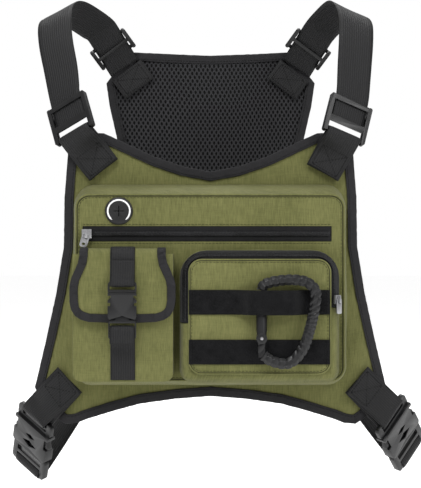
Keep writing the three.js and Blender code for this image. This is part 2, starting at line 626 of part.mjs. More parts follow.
// A prong in its own frame: it turns about Y at its root, which is the frame's origin. Side is -1 or 1.
function prong(size, side) {
  const s = buckleSizes(size);
  const reach = s.windowTop - RUN - 1 - s.root;
  const catchLow = s.windowBottom + s.play - s.root;
  const out = s.side + RUN + size.width * 0.005;
  const rootCut = s.prong * 0.27; // keeps the inner corner off the base as the prong bends
  const corners = [[-s.prong, rootCut], [0, 0], [0, catchLow], [out, catchLow], [out, catchLow + 2.5],
    [0, reach - 0.5], [-s.prong * 0.6, reach], [-s.prong, reach - 2]];
  return plate(shapeOf(corners.map(([x, z]) => [side * x, z])), -s.inner, 2 * s.inner);
}

// One buckle in a group. Returns the group.
function buckle(prefix, size, place, across, down) {
  const x = across.clone().normalize();
  const z = down.clone().negate().addScaledVector(x, down.dot(x)).normalize();
  const group = new THREE.Group();
  group.quaternion.setFromRotationMatrix(new THREE.Matrix4().makeBasis(x, z.clone().cross(x), z));
  group.position.copy(place);
  rig.add(group);
  addMesh(`${prefix}_female`, femaleHalf(size), PLASTIC, group);
  addMesh(`${prefix}_male`, maleHalf(size), PLASTIC, group);
  const s = buckleSizes(size);
  for (const [name, side] of [["left", -1], ["right", 1]]) {
    const hinge = new THREE.Group();
    hinge.position.set(side * s.prongOut, 0, s.root);
    group.add(hinge);
    addMesh(`${prefix}_prong_${name}`, prong(size, side), PLASTIC, hinge);
  }
  return group;
}

// The buckle that holds the flap down, and the webbing on both its halves.
function pouchBuckle() {
  const { x, top } = POUCH_BUCKLE;
  const webFront = FLAP_FACE - FLAP.thick - 2 * GAP - WEB.thick;
  const y = webFront - RUN - BUCKLE_25.thick / 2;
  buckle("pouch_buckle", BUCKLE_25, V(x, y, top), V(1, 0, 0), V(0, 0, -1));
  flapWebbing(y, top - BUCKLE_25.bar / 2);
  const [lower, upper] = maleSlots(BUCKLE_25);
  pouchWebbing(y, top + (lower[1] + upper[0]) / 2);
}

// ---- zip pouch ----------------------------------------------------------------------------------
const ZIP_POUCH_BACK = POCKET_FACE - GAP;
const ZIP_POUCH_EDGE = ZIP_POUCH_BACK - ZIP_POUCH.gusset;
const ZIP_POUCH_FACE = ZIP_POUCH_BACK - ZIP_POUCH.face;
const CARABINER_Y = ZIP_POUCH_FACE - CARABINER.stand;

function zipPouch() {
  const { left, right, bottom, top, inset, wall } = ZIP_POUCH;
  const cornerSteps = 6;
  const sideSteps = 6;
  const radii = ZIP_POUCH_RADII;
  const loop = roundedLoop(left, right, bottom, top, radii.bottom, radii.top, cornerSteps, sideSteps);
  const at = ({ x, z, out }, offset, y) => V(x + out.x * offset, y, z + out.y * offset);
  const ring = loop.map((p) => [at(p, 0, ZIP_POUCH_BACK), at(p, 0, ZIP_POUCH_EDGE),
    at(p, -wall, ZIP_POUCH_EDGE), at(p, -wall, ZIP_POUCH_BACK)]);
  addMesh("zip_pouch_gusset", sweep(ring), OLIVE);

  const face = roundedShape(left + inset, right - inset, bottom + inset, top - inset, radii.bottom);
  addMesh("zip_pouch_front", plate(face, ZIP_POUCH_FACE, wall), OLIVE);

  const skin = 0.6;
  const full = 0.94; // stops just short of the edge of the front
  const tucked = ZIP_POUCH_FACE + wall + skin + 0.05; // its far side comes just behind the front's back

  // A slanted strip runs from the gusset's front edge to the edge of the front. Its upper stretch is the zip.
  // Low and high are the heights of its two sides, and tuck is how far its low side sits in.
  const strip = (p, from, to, low, high, tuck) => {
    const y = (share) => THREE.MathUtils.lerp(ZIP_POUCH_EDGE - GAP, tucked, share / full);
    const under = (share) => at(p, -inset * share - tuck, y(share) - low);
    const over = (share) => at(p, -inset * share, y(share) - high);
    return [under(from), over(from), over(to), under(to)];
  };
  const flat = [[0, 0], [0, 1], [1, 1], [1, 0]].map(([a, b]) => new THREE.Vector2(a, b));
  const perCorner = cornerSteps + sideSteps;
  const rightEnd = cornerSteps + 4; // two thirds of the way up the right side
  const leftEnd = 3 * perCorner - 3; // half way down the left side
  const zipStretch = loop.slice(rightEnd, leftEnd + 1);
  const lowStretch = [...loop.slice(leftEnd), ...loop.slice(0, rightEnd + 1)];
  const shorten = (stretch, share) => {
    const ends = [0, stretch.length - 1].map((i, k) => {
      const a = stretch[i];
      const b = stretch[i + (k ? -1 : 1)];
      return { x: a.x + (b.x - a.x) * share, z: a.z + (b.z - a.z) * share, out: a.out };
    });
    return [ends[0], ...stretch.slice(1, -1), ends[1]];
  };
  const flatStrip = (stretch) => sweep(stretch.map((p) => strip(p, 0, full, 0, skin, wall)), flat);
  addMesh("zip_pouch_lower_gusset", flatStrip(lowStretch), OLIVE);
  addMesh("zip_pouch_tapes", flatStrip(shorten(zipStretch, 0.05)), TAPE);
  const coil = shorten(zipStretch, 0.2);
  const coilLow = skin + GAP;
  const coilHigh = coilLow + 1.4;
  const coilStrip = coil.map((p) => strip(p, 0.3, 0.75, coilLow, coilHigh, 0));
  addMesh("zip_pouch_coil", sweep(coilStrip, flat), TAPE);

  const end = coil[0];
  const rise = ZIP_POUCH.face - ZIP_POUCH.gusset;
  pouchZipSlider(at(end, -inset * 0.52, ZIP_POUCH_EDGE - 0.52 * rise), Math.atan2(rise, inset) + SLIDER_TIP);
}

// A small slider that stands on the coil of the straight right side of the pouch. Its travel is along Z.
function pouchZipSlider(place, slope) {
  const group = new THREE.Group();
  group.position.copy(place);
  group.rotation.z = slope;
  rig.add(group);
  const half = 4.2;
  const under = -2.3;
  const front = under - 2.4;
  const middle = 5.5;
  const { loop, eye } = bail(front, middle, 2.8, 3.5);
  const body = [block(-half, half, front, under, 1, 10), loop];
  addMesh("zip_pouch_slider", joinAndCut(body, [eye]), GUNMETAL, group);
  const hang = new THREE.Group();
  hang.position.set(0, front - 0.9, middle + 0.5);
  group.add(hang);
  const tag = roundedShape(-3.6, 3.6, -15, 0.6, 1.8);
  tag.holes.push(roundedHole(-2, 2, -4.8, -0.6, 0.4));
  addMesh("zip_pouch_pull", plate(tag, -0.6, 1.2, 3), GUNMETAL, hang);
}

// ---- bands and carabiner ------------------------------------------------------------------------
function bands() {
  const rest = ZIP_POUCH_FACE - GAP - BAND.thick / 2;
  const inFront = CARABINER_Y - CARABINER.width / 2 - 2 * RUN - BAND.thick / 2;
  const gate = CARABINER.gateX;
  const route = [[BAND.left, rest], [gate - 28, rest], [gate - 20, rest - 3], [gate - 11, inFront + 1.5],
    [gate - 7, inFront], [gate + 28, inFront], [gate + 32, inFront + 1.5], [gate + 42, rest - 2],
    [gate + 46, rest], [BAND.right, rest]];
  const upper = route.map(([x, y]) => V(x, y, BAND.upper));
  addMesh("band_upper", ribbon(upper, upper.map(() => V(0, 0, 1)), WEB.narrow, BAND.thick), WEBBING);
  const lower = [BAND.left, BAND.right].map((x) => V(x, rest, BAND.lower));
  addMesh("band_lower", ribbon(lower, lower.map(() => V(0, 0, 1)), WEB.narrow, BAND.thick), WEBBING);
}

function carabiner() {
  const { gateX, pivotZ, noseZ, width, deep } = CARABINER;
  const y = CARABINER_Y;
  const centres = CARABINER_CENTRES.map(([z, x = gateX]) => V(x, y, z));
  const path = new THREE.CatmullRomCurve3(centres, false, "centripetal");
  const steps = 34;
  const corner = 1 / Math.cos(Math.PI / 8);
  const ring = Array.from({ length: 8 }, (_, i) => ((i + 0.5) / 8) * 2 * Math.PI)
    .map((a) => new THREE.Vector2(Math.cos(a) * corner, Math.sin(a) * corner));
  const sections = Array.from({ length: steps + 1 }, (_, i) => {
    const p = path.getPoint(i / steps);
    const t = path.getTangent(i / steps);
    const out = V(t.z, 0, -t.x);
    return ring.map((q) => p.clone().addScaledVector(out, (q.x * width) / 2)
      .add(V(0, (q.y * deep) / 2, 0)));
  });
  const lowEnd = centres[centres.length - 1].z;
  const cylinder = (radius, long, sides = 16) => new THREE.CylinderGeometry(radius, radius, long, sides)
    .translate(gateX, y, pivotZ);
  const eye = width / 2;
  const tongueHalf = 1.7;
  const tongueWide = 3.6;
  const tongue = [block(gateX - tongueWide, gateX + tongueWide, y - tongueHalf, y + tongueHalf, lowEnd - 2,
    pivotZ), cylinder(tongueWide, 2 * tongueHalf)];
  const relief = cylinder(eye + RUN, deep + 4, 20);
  const belowNose = block(gateX - 9, gateX + 9, y - 9, y + 9, -30, noseZ);
  const pinHole = cylinder(CARABINER_PIN + GAP, deep + 2);
  const bow = solid(sweep(sections, ring)).subtract(solid(relief)).subtract(solid(belowNose));
  const body = tongue.map(solid).reduce((a, b) => a.add(b), bow).subtract(solid(pinHole));
  addMesh("carabiner_body", geometryOf(body), PLASTIC);

  const gateTop = noseZ - RUN;
  const arm = new THREE.CylinderGeometry(deep / 2, deep / 2, gateTop - pivotZ, 12).rotateX(Math.PI / 2)
    .scale(width / deep, 1, 1).translate(gateX, y, (gateTop + pivotZ) / 2);
  const slotHalf = tongueHalf + RUN;
  const slot = block(gateX - 9, gateX + 9, y - slotHalf, y + slotHalf, pivotZ - eye - 1, pivotZ + eye + 1.5);
  addMesh("carabiner_gate", joinAndCut([arm, cylinder(eye, deep)], [slot, pinHole]), PLASTIC);
  addMesh("carabiner_gate_pin", cylinder(CARABINER_PIN, deep + 1), GUNMETAL);
}

// ---- shoulders ----------------------------------------------------------------------------------
function hardwareGroup(place, across, down) {
  const x = V(...across).normalize();
  const fall = V(...down);
  const z = fall.clone().negate().addScaledVector(x, fall.dot(x)).normalize();
  const group = new THREE.Group();
  group.quaternion.setFromRotationMatrix(new THREE.Matrix4().makeBasis(x, z.clone().cross(x), z));
  group.position.set(...place);
  rig.add(group);
  group.updateMatrixWorld(true);
  return group;
}

// The two side rails of a ladder lock or a tri-glide.
function railPair(half, rail, low, high, thick) {
  const inner = half - rail;
  return [[-half, -inner], [inner, half]]
    .map(([left, right]) => plate(roundedShape(left, right, low, high, 2), -thick / 2, thick));
}

function ladderLock(side, group) {
  const { half, rail, length, thick, lowerBar } = LOCK;
  const rim = half - rail + 0.3;
  const sides = railPair(half, rail, lowerBar - 3, length / 2 - 2, thick);
  const bar = (z0, z1, y0, y1) => block(-rim, rim, y0, y1, z0, z1);
  const web = WEB.thick / 2 + RUN;
  const face = thick / 2;
  const bars = [bar(18, 23.5, -face, -web), bar(4.5, 12.5, web, face), bar(-8.5, -1, -face, -web),
    bar(lowerBar - 2, lowerBar + 2, -2, 2)];
  addMesh(`ladder_lock_${side.name}`, joinAndCut([...sides, ...bars]), PLASTIC, group);
}

// A tab of webbing, sewn to the panel in two layers, that goes round a bar of the group's hardware.
function loopTab(name, group, barZ, clear, inner, innerAcross) {
  const turnSteps = 8;
  const laySteps = 5;
  const sewn = V(inner.x, panelBend(inner.x) - PANEL_FRONT - TAB_LIFT, inner.z);
  const far = group.worldToLocal(sewn).sub(V(0, 0, barZ)).setX(0).normalize().negate();
  const rear = V(0, Math.abs(far.z), -Math.sign(far.z) * far.y);
  const round = Array.from({ length: turnSteps + 1 }, (_, i) => ((i / turnSteps) * 2 - 1) * Math.PI * 0.5)
    .map((angle) => group.localToWorld(V(0, 0, barZ).addScaledVector(rear, clear * Math.sin(angle))
      .addScaledVector(far, clear * Math.cos(angle))));
  const acrossBar = V(1, 0, 0).transformDirection(group.matrixWorld);
  const slope = (x) => Math.sign(x) * 2 * PANEL.wrap * Math.max(0, Math.abs(x) - PANEL.flatHalf);
  const layer = (first, lift) => Array.from({ length: laySteps }, (_, i) => {
    const t = (i + 1) / laySteps;
    const p = first.clone().lerp(inner, t);
    const surface = panelBend(p.x) - PANEL_FRONT - lift;
    const settled = THREE.MathUtils.smoothstep(t, 0, 0.6);
    const y = Math.min(surface, THREE.MathUtils.lerp(first.y, surface, settled));
    const sheetAcross = V(innerAcross.x, innerAcross.x * slope(p.x), innerAcross.z).normalize();
    return [V(p.x, y, p.z), acrossBar.clone().lerp(sheetAcross, settled).normalize()];
  });
  const outer = layer(round[0], TAB_LIFT + WEB.thick + RUN).reverse();
  const run = [...outer, ...round.map((p) => [p, acrossBar]), ...layer(round[turnSteps], TAB_LIFT)];
  addMesh(name, ribbon(run.map(([p]) => p), run.map(([, a]) => a), WEB.wide, WEB.thick), WEBBING);
}

function shoulder(side) {
  const turned = (a) => V(...a).multiplyScalar(-side.side);
  const group = hardwareGroup(side.lock, turned(side.lockAcross).toArray(), side.lockDown);
  ladderLock(side, group);
  const lockAcross = V(1, 0, 0).transformDirection(group.matrixWorld);
  const [endX, endZ] = side.tabEnd;
  loopTab(`shoulder_tab_${side.name}`, group, LOCK.lowerBar, BAR_REACH + WEB.thick / 2, V(endX, 0, endZ),
    lockAcross);

  const low = group.localToWorld(V(0, 0, -7));
  const high = group.localToWorld(V(0, 0, LOCK.length / 2 + 4));
  const mirror = (p) => V(side.side * p[0], p[1], p[2]);
  const rear = turned([side.side * REAR_ACROSS[0], 0, REAR_ACROSS[2]]);
  const [points, directions] = smoothRun([high, ...side.strap.map((p) => V(...p)), mirror(REAR_TOP)],
    [lockAcross, ...side.strapAcross.map(turned), rear], 26);
  const route = [low, ...points, mirror(REAR_END)];
  const turns = [lockAcross, ...directions, rear];
  addMesh(`shoulder_strap_${side.name}`, ribbon(route, turns, WEB.wide, WEB.thick), WEBBING);
  triGlide(side, mirror(REAR_TOP), mirror(REAR_END), rear);
}

// Side rails, a middle bar on one face of the webbing and two outer bars on the other.
function triGlide(side, top, end, across) {
  const place = top.clone().lerp(end, 0.5);
  const group = hardwareGroup(place.toArray(), across.toArray(), end.clone().sub(top).toArray());
  const { half, rail, length, bar } = GLIDE;
  const web = WEB.thick / 2 + RUN;
  const rim = half - rail + 0.3;
  const barThick = 1.8;
  const sides = railPair(half, rail, -length / 2, length / 2, 2 * (web + barThick));
  const at = (z, y0, y1) => block(-rim, rim, y0, y1, z - bar / 2, z + bar / 2);
  const outer = length / 2 - bar / 2;
  const bars = [at(0, -web - barThick, -web), at(outer, web, web + barThick),
    at(-outer, web, web + barThick)];
  addMesh(`tri_glide_${side.name}`, joinAndCut([...sides, ...bars]), PLASTIC, group);
}

// ---- back pad -----------------------------------------------------------------------------------
const PAD_COLUMNS = [-1, -0.9, -0.74, -0.45, -0.2, 0, 0.2, 0.45, 0.74, 0.9, 1];
const PAD_ROWS = [0, 0.12, 0.3, 0.5, 0.7, 0.88, 1];
const padBend = () => PAD.y;

function backPad() {
  const total = PAD.mesh + GAP + PAD.foam;
  addMesh("pad_mesh", layer(padPoint, PAD_COLUMNS, PAD_ROWS, -total, -total + PAD.mesh, padBend), MESH);
  addMesh("pad_foam", layer(padPoint, PAD_COLUMNS, PAD_ROWS, -PAD.foam, 0, padBend), FOAM);
  addMesh("pad_binding", bindingRound(border(padPoint, PAD_COLUMNS, PAD_ROWS), -total, 0, padBend), TAPE);
}

// The webbing end that is sewn on the wearer's side of the pad at each top corner.
function padPatch(side) {
  const [x, y, z] = REAR_END;
  const run = [[x - 2, z - 2.7], [x - 18, z - 24]].map(([px, pz]) => V(side.side * px, y, pz));
  const across = V(side.side * REAR_ACROSS[0], 0, REAR_ACROSS[2]);
  addMesh(`pad_patch_${side.name}`, ribbon(run, [across, across.clone()], WEB.wide + 4, WEB.thick), WEBBING);
}

// ---- waist --------------------------------------------------------------------------------------
function waist(side) {
  const outward = V(...side.across).multiplyScalar(-side.side);
  const down = V(...side.down);
  const group = buckle(`waist_${side.name}`, BUCKLE_38, V(...side.buckle), outward, down);
  group.updateMatrixWorld(true);
  const [endX, endZ] = side.waistEnd;
  const [acrossX, acrossZ] = side.waistAcross;
  const tabAcross = V(acrossX, 0, acrossZ).multiplyScalar(-side.side);
  loopTab(`waist_tab_${side.name}`, group, -BUCKLE_38.bar / 2, 4.6, V(endX, 0, endZ), tabAcross);

  const end = -BUCKLE_38.length;
  const turn = [V(0, -1, end + 9), V(0, -4.6, end + 5), V(0, -5, end), V(0, -1, end - 4), V(0, 5, end - 3),
    V(0, 10, end + 4)].map((p) => group.localToWorld(p));
  const wide = V(1, 0, 0).transformDirection(group.matrixWorld);
  const patch = V(side.side * WAIST_PATCH[0], WAIST_PATCH[1], WAIST_PATCH[2]);
  const padAcross = V(0.84, 0, -0.54 * -side.side);
  const start = turn[turn.length - 1];
  const steps = 12;
  const run = Array.from({ length: steps }, (_, i) => (i + 1) / steps);
  const lift = 16;
  const sag = (t) => V(0, lift * Math.sin(Math.PI * t), 0);
  const points = [...turn, ...run.map((t) => start.clone().lerp(patch, t).add(sag(t)))];
  const across = [...turn.map(() => wide),
    ...run.map((t) => wide.clone().lerp(padAcross, t).normalize())];
  addMesh(`waist_strap_${side.name}`, ribbon(points, across, WEB.wide, WEB.thick), WEBBING);
}

// ---- assembly -----------------------------------------------------------------------------------
frontPanel();
mainPocket();
mainZip();
earphonePort();
flapPouchBody();
flap();
pouchBuckle();
zipPouch();
bands();
carabiner();
backPad();
for (const side of SIDES) {
  shoulder(side);
  padPatch(side);
  waist(side);
}

export default rig;
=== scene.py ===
import json
import math

import bmesh
import bpy
from mathutils import Matrix, Vector, noise
from mathutils.bvhtree import BVHTree
from mathutils.kdtree import KDTree


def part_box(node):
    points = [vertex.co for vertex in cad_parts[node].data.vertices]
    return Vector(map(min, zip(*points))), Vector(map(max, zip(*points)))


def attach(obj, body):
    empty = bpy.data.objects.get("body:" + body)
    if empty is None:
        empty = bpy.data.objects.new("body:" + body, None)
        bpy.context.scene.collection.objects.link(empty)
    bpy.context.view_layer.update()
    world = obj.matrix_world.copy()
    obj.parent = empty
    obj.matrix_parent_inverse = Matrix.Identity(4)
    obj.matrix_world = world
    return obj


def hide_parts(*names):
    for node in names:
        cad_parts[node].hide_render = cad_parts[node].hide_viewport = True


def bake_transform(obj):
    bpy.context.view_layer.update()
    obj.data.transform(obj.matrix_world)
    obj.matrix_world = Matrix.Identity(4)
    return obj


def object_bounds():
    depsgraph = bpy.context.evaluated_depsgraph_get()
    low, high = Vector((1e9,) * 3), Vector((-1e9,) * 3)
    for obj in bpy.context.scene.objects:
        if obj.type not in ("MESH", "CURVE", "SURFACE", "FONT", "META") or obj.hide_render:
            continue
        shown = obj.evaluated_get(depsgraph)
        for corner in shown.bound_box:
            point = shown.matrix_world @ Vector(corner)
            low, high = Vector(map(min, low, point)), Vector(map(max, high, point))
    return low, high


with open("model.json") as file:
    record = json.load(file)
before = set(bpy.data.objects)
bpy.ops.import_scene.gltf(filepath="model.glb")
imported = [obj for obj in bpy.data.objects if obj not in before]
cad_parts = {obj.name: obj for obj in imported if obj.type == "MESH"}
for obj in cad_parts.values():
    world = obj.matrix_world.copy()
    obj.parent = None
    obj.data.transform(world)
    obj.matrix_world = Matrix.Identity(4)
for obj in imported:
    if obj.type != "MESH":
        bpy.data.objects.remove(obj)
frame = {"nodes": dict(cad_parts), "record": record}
SIZE_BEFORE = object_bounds()
NODES = frame["nodes"]
BODIES = frame["record"]["behaviour"]["bodies"]
BODY_OF = {node: body for body, nodes in BODIES.items() for node in nodes}
MM = 0.001

# Webbing, as the CAD has it
SHOULDER_WEB = 38 * MM
PATCH_WEB = 42 * MM
POUCH_WEB = 25 * MM
WEB_THICK = 1.6 * MM
BAND_THICK = 1.5 * MM

# Thread
DASH = 2.5 * MM
DASH_GAP = 1.1 * MM
THREAD_RADIUS = 0.32 * MM
ABOVE_CLOTH = 0.1 * MM
TOOTH_PITCH = 0.75 * MM

BACK = Vector((0, 1, 0))  # towards the wearer
FORWARD = Vector((0, -1, 0))


# ---- materials ----------------------------------------------------------------------------------
class Shader:
    """A Principled material with short calls for its nodes."""

    def __init__(self, name, roughness, metallic=0.0, specular=0.5, sheen=0.0):
        self.material = bpy.data.materials.new(name)
        self.material.use_nodes = True
        self.tree = self.material.node_tree
        self.surface = self.tree.nodes["Principled BSDF"]
        self.surface.inputs["Roughness"].default_value = roughness
        self.surface.inputs["Metallic"].default_value = metallic
        self.surface.inputs["Specular IOR Level"].default_value = specular
        self.surface.inputs["Sheen Weight"].default_value = sheen
        self.surface.inputs["Sheen Roughness"].default_value = 0.5

    def set(self, socket, value):
        if isinstance(value, bpy.types.NodeSocket):
            self.tree.links.new(value, socket)
        else:
            socket.default_value = value

    def math(self, operation, a, b=0.0, c=0.0):
        node = self.tree.nodes.new("ShaderNodeMath")
        node.operation = operation
        for socket, value in zip(node.inputs, (a, b, c)):
            self.set(socket, value)
        return node.outputs[0]

    def axes(self, source="Object"):
        """The x, y and z of a coordinate: the object's own, or a named attribute."""
        if source == "Object":
            out = self.tree.nodes.new("ShaderNodeTexCoord").outputs["Object"]
        else:
            node = self.tree.nodes.new("ShaderNodeAttribute")
            node.attribute_name = source
            out = node.outputs["Vector"]
        split = self.tree.nodes.new("ShaderNodeSeparateXYZ")
        self.set(split.inputs[0], out)
        return split.outputs[0], split.outputs[1], split.outputs[2]

    def vector(self, x, y, z=0.0):
        node = self.tree.nodes.new("ShaderNodeCombineXYZ")
        for socket, value in zip(node.inputs, (x, y, z)):
            self.set(socket, value)
        return node.outputs[0]

    def noise(self, where, scale, detail=3.0, roughness=0.55):
        node = self.tree.nodes.new("ShaderNodeTexNoise")
        self.set(node.inputs["Vector"], where)
        node.inputs["Scale"].default_value = scale
        node.inputs["Detail"].default_value = detail
        node.inputs["Roughness"].default_value = roughness
        return node.outputs["Fac"]

    def wave(self, at, pitch):
        """A sine from 0 to 1 with the given pitch in metres."""
        turn = self.math("MULTIPLY", at, 2 * math.pi / pitch)
        return self.math("MULTIPLY_ADD", self.math("SINE", turn), 0.5, 0.5)

    def mix(self, share, low, high):
        node = self.tree.nodes.new("ShaderNodeMix")
        node.data_type = "RGBA"
        self.set(node.inputs[0], share)
        self.set(node.inputs[6], low)
        self.set(node.inputs[7], high)
        return node.outputs[2]

    def ramp(self, value, low, high):
        node = self.tree.nodes.new("ShaderNodeMapRange")
        self.set(node.inputs[0], value)
        node.inputs[1].default_value = low
        node.inputs[2].default_value = high
        return node.outputs[0]

    def colour(self, value):
        self.set(self.surface.inputs["Base Color"], value)

    def bump(self, height, distance, strength=1.0, under=None):
        node = self.tree.nodes.new("ShaderNodeBump")
        node.inputs["Distance"].default_value = distance
        node.inputs["Strength"].default_value = strength
        self.set(node.inputs["Height"], height)
        if under is not None:
            self.set(node.inputs["Normal"], under)
        self.set(self.surface.inputs["Normal"], node.outputs[0])
        return node.outputs[0]


def rgb(red, green, blue):
    """A colour given in the usual 0 to 255 display values."""
    shares = [c / 255 for c in (red, green, blue)]
    linear = [((c + 0.055) / 1.055) ** 2.4 if c > 10 / 255 else c / 12.92 for c in shares]
    return (*linear, 1.0)


def cloth_axes(shader):
    """Two coordinates that run over front, top and side faces alike."""
    x, y, z = shader.axes()
    across = shader.math("MULTIPLY_ADD", y, 0.7, x)
    up = shader.math("MULTIPLY_ADD", y, -0.7, z)
    return across, up, y


def canvas(name, dark, light, pitch=1.1 * MM):
    """Plain woven nylon with slubs that run up the cloth."""
    s = Shader(name, 0.85, specular=0.2, sheen=0.05)
    across, up, deep = cloth_axes(s)
    slub = s.noise(s.vector(s.math("MULTIPLY", across, 9.0), s.math("MULTIPLY", up, 0.9), deep), 110.0, 3.0)
    cross = s.noise(s.vector(s.math("MULTIPLY", across, 0.8), s.math("MULTIPLY", up, 7.0), deep), 110.0, 2.0)
    cloud = s.noise(s.vector(across, up, deep), 22.0, 3.0)
    warp = s.wave(across, pitch)
    weft = s.wave(up, pitch)
    weave = s.math("MULTIPLY", warp, weft)
    tone = s.math("MULTIPLY_ADD", slub, 0.55, s.math("MULTIPLY", cross, 0.2))
    tone = s.math("ADD", tone, s.math("MULTIPLY", cloud, 0.35))
    tone = s.math("MULTIPLY_ADD", weave, 0.1, tone)
    s.colour(s.mix(s.ramp(tone, 0.35, 0.82), dark, light))
    folds = s.noise(s.vector(s.math("MULTIPLY", across, 1.3), up, deep), 19.0, 2.0, 0.45)
    soft = s.bump(folds, 7.0 * MM, 0.75)
    fine = s.math("MULTIPLY_ADD", slub, 0.8, weave)
    s.bump(fine, 0.25 * MM, 0.7, soft)
    return s.material


def webbing(name, dark, light):
    """Ribbed webbing. The attribute web holds the distance across and along it."""
    s = Shader(name, 0.6, specular=0.25, sheen=0.02)
    across, along, _ = s.axes("web")
    ribs = s.wave(across, 2.4 * MM)
    picks = s.wave(s.math("MULTIPLY_ADD", ribs, 0.5 * MM, along), 1.3 * MM)
    fuzz = s.noise(s.vector(across, along), 500.0, 2.0)
    tone = s.math("MULTIPLY_ADD", ribs, 0.4, s.math("MULTIPLY", picks, 0.3))
    tone = s.math("MULTIPLY_ADD", fuzz, 0.4, tone)
    s.colour(s.mix(s.ramp(tone, 0.2, 1.0), dark, light))
    cloud = s.bump(s.noise(s.vector(across, along), 40.0, 2.0), 1.0 * MM, 0.5)
    s.bump(s.math("MULTIPLY_ADD", picks, 0.45, ribs), 0.3 * MM, 0.8, cloud)
    return s.material


def folded_tape(name, dark, light):
    """Grosgrain tape with ribs across it, a little puckered by its stitching."""
    s = Shader(name, 0.66, specular=0.25, sheen=0.02)
    across, along, _ = s.axes("web")
    ribs = s.wave(along, 1.15 * MM)
    pucker = s.noise(s.vector(across, along), 160.0, 2.0)
    s.colour(s.mix(s.math("MULTIPLY_ADD", ribs, 0.5, s.math("MULTIPLY", pucker, 0.4)), dark, light))
    soft = s.bump(pucker, 1.1 * MM, 0.7)
    s.bump(ribs, 0.2 * MM, 0.8, soft)
    return s.material


def loop_pile(name, dark, light):
    """Brushed loop tape: a matt fuzz of tiny loops."""
    s = Shader(name, 0.95, specular=0.1, sheen=0.04)
    x, y, z = s.axes()
    where = s.vector(x, y, z)
    pile = s.noise(where, 900.0, 3.0, 0.7)
    patch = s.noise(where, 130.0, 2.0)
    s.colour(s.mix(s.ramp(s.math("MULTIPLY_ADD", patch, 0.5, pile), 0.5, 1.0), dark, light))
    s.bump(pile, 0.9 * MM, 0.9)
    return s.material


def spacer_mesh(name, dark, light):
    """Knitted mesh with slanted rows of diamond holes; the holes are painted near black as the shade down in
    them.
    """
    s = Shader(name, 0.85, specular=0.15)
    across, up, deep = cloth_axes(s)
    slant_a = s.math("MULTIPLY_ADD", up, 0.62, across)
    slant_b = s.math("MULTIPLY_ADD", up, -0.62, across)
    pitch = 5.2 * MM
    holes = s.math("MULTIPLY", s.wave(slant_a, pitch), s.wave(slant_b, pitch))
    hole_and_painted_shade = s.ramp(holes, 0.2, 0.42)
    yarn = s.noise(s.vector(across, up, deep), 900.0, 2.0)
    rim = s.mix(yarn, light, dark)
    # Painted shade: the holes are coloured near black for the shadow inside them; the same mask also sinks them
    # by bump.
    s.colour(s.mix(hole_and_painted_shade, rim, rgb(1, 1, 1)))
    soft = s.bump(s.noise(s.vector(across, up, deep), 28.0, 2.0), 2.0 * MM, 0.4)
    s.bump(s.math("SUBTRACT", 1.0, hole_and_painted_shade), 1.2 * MM, 0.9, soft)
    return s.material


def moulded(name, dark, light, roughness, grain=0.06 * MM):
    """Moulded plastic or rubber with a spark-eroded grain and rubbed patches of tone and roughness at random."""
    s = Shader(name, roughness, specular=0.35)
    x, y, z = s.axes()
    where = s.vector(x, y, z)
    rub = s.noise(where, 60.0, 4.0)
    fine = s.noise(where, 2400.0, 2.0)
    s.colour(s.mix(s.ramp(rub, 0.3, 0.75), dark, light))
    s.set(s.surface.inputs["Roughness"], s.math("MULTIPLY_ADD", rub, 0.18, roughness - 0.09))
    s.bump(fine, grain, 0.6)
    return s.material


def plated(name):
    """Dull gunmetal plating with fine scratches."""
    s = Shader(name, 0.33, metallic=0.9)
    x, y, z = s.axes()
    scratch = s.noise(s.vector(s.math("MULTIPLY", x, 8.0), y, z), 300.0, 4.0)
    s.colour(s.mix(scratch, rgb(120, 120, 122), rgb(178, 178, 180)))
    s.set(s.surface.inputs["Roughness"], s.math("MULTIPLY_ADD", scratch, 0.22, 0.24))
    s.bump(scratch, 0.05 * MM, 0.5)
    return s.material


def plain_thread(name, colour):
    s = Shader(name, 0.6, specular=0.2)
    x, y, z = s.axes()
    twist = s.wave(s.math("ADD", x, s.math("ADD", y, z)), 0.9 * MM)
    s.colour(s.mix(twist, colour, tuple(0.75 * c for c in colour[:3]) + (1.0,)))
    s.bump(twist, 0.1 * MM, 0.6)
    return s.material


OLIVE = canvas("olive_canvas", rgb(74, 76, 40), rgb(112, 112, 69))
LINING = canvas("lining_cloth", rgb(52, 53, 32), rgb(80, 80, 52))
WEBBING = webbing("black_webbing", rgb(5, 5, 6), rgb(30, 30, 31))
TAPE = folded_tape("binding_tape", rgb(10, 10, 11), rgb(33, 32, 35))
ZIP_TAPE = canvas("zip_tape", rgb(10, 10, 11), rgb(28, 28, 29), 0.7 * MM)
PAD_COVER = canvas("pad_cover", rgb(12, 12, 13), rgb(34, 34, 35), 0.9 * MM)
MESH = spacer_mesh("pad_mesh", rgb(16, 16, 17), rgb(58, 58, 60))
FOAM = moulded("foam", rgb(34, 34, 34), rgb(56, 56, 56), 0.95, 0.4 * MM)
PLASTIC = moulded("acetal", rgb(8, 8, 9), rgb(21, 21, 22), 0.36)
COIL = moulded("zip_coil", rgb(12, 12, 13), rgb(32, 32, 34), 0.38)
RUBBER = moulded("port_rubber", rgb(8, 8, 9), rgb(22, 22, 23), 0.5)
GUNMETAL = plated("gunmetal")
WHITE = moulded("white_mark", rgb(214, 214, 214), rgb(236, 236, 236), 0.5)
LOOP = loop_pile("loop_tape", rgb(5, 5, 6), rgb(26, 26, 27))
# Painted shade: a dark olive thread tube that stands for the shadow in the seam groove beside each welt.
SEAM_SHADE_THREAD = plain_thread("seam_shadow", rgb(40, 41, 20))
BLACK_THREAD = plain_thread("black_thread", rgb(2, 2, 2))
OLIVE_THREAD = plain_thread("olive_thread", rgb(58, 59, 30))


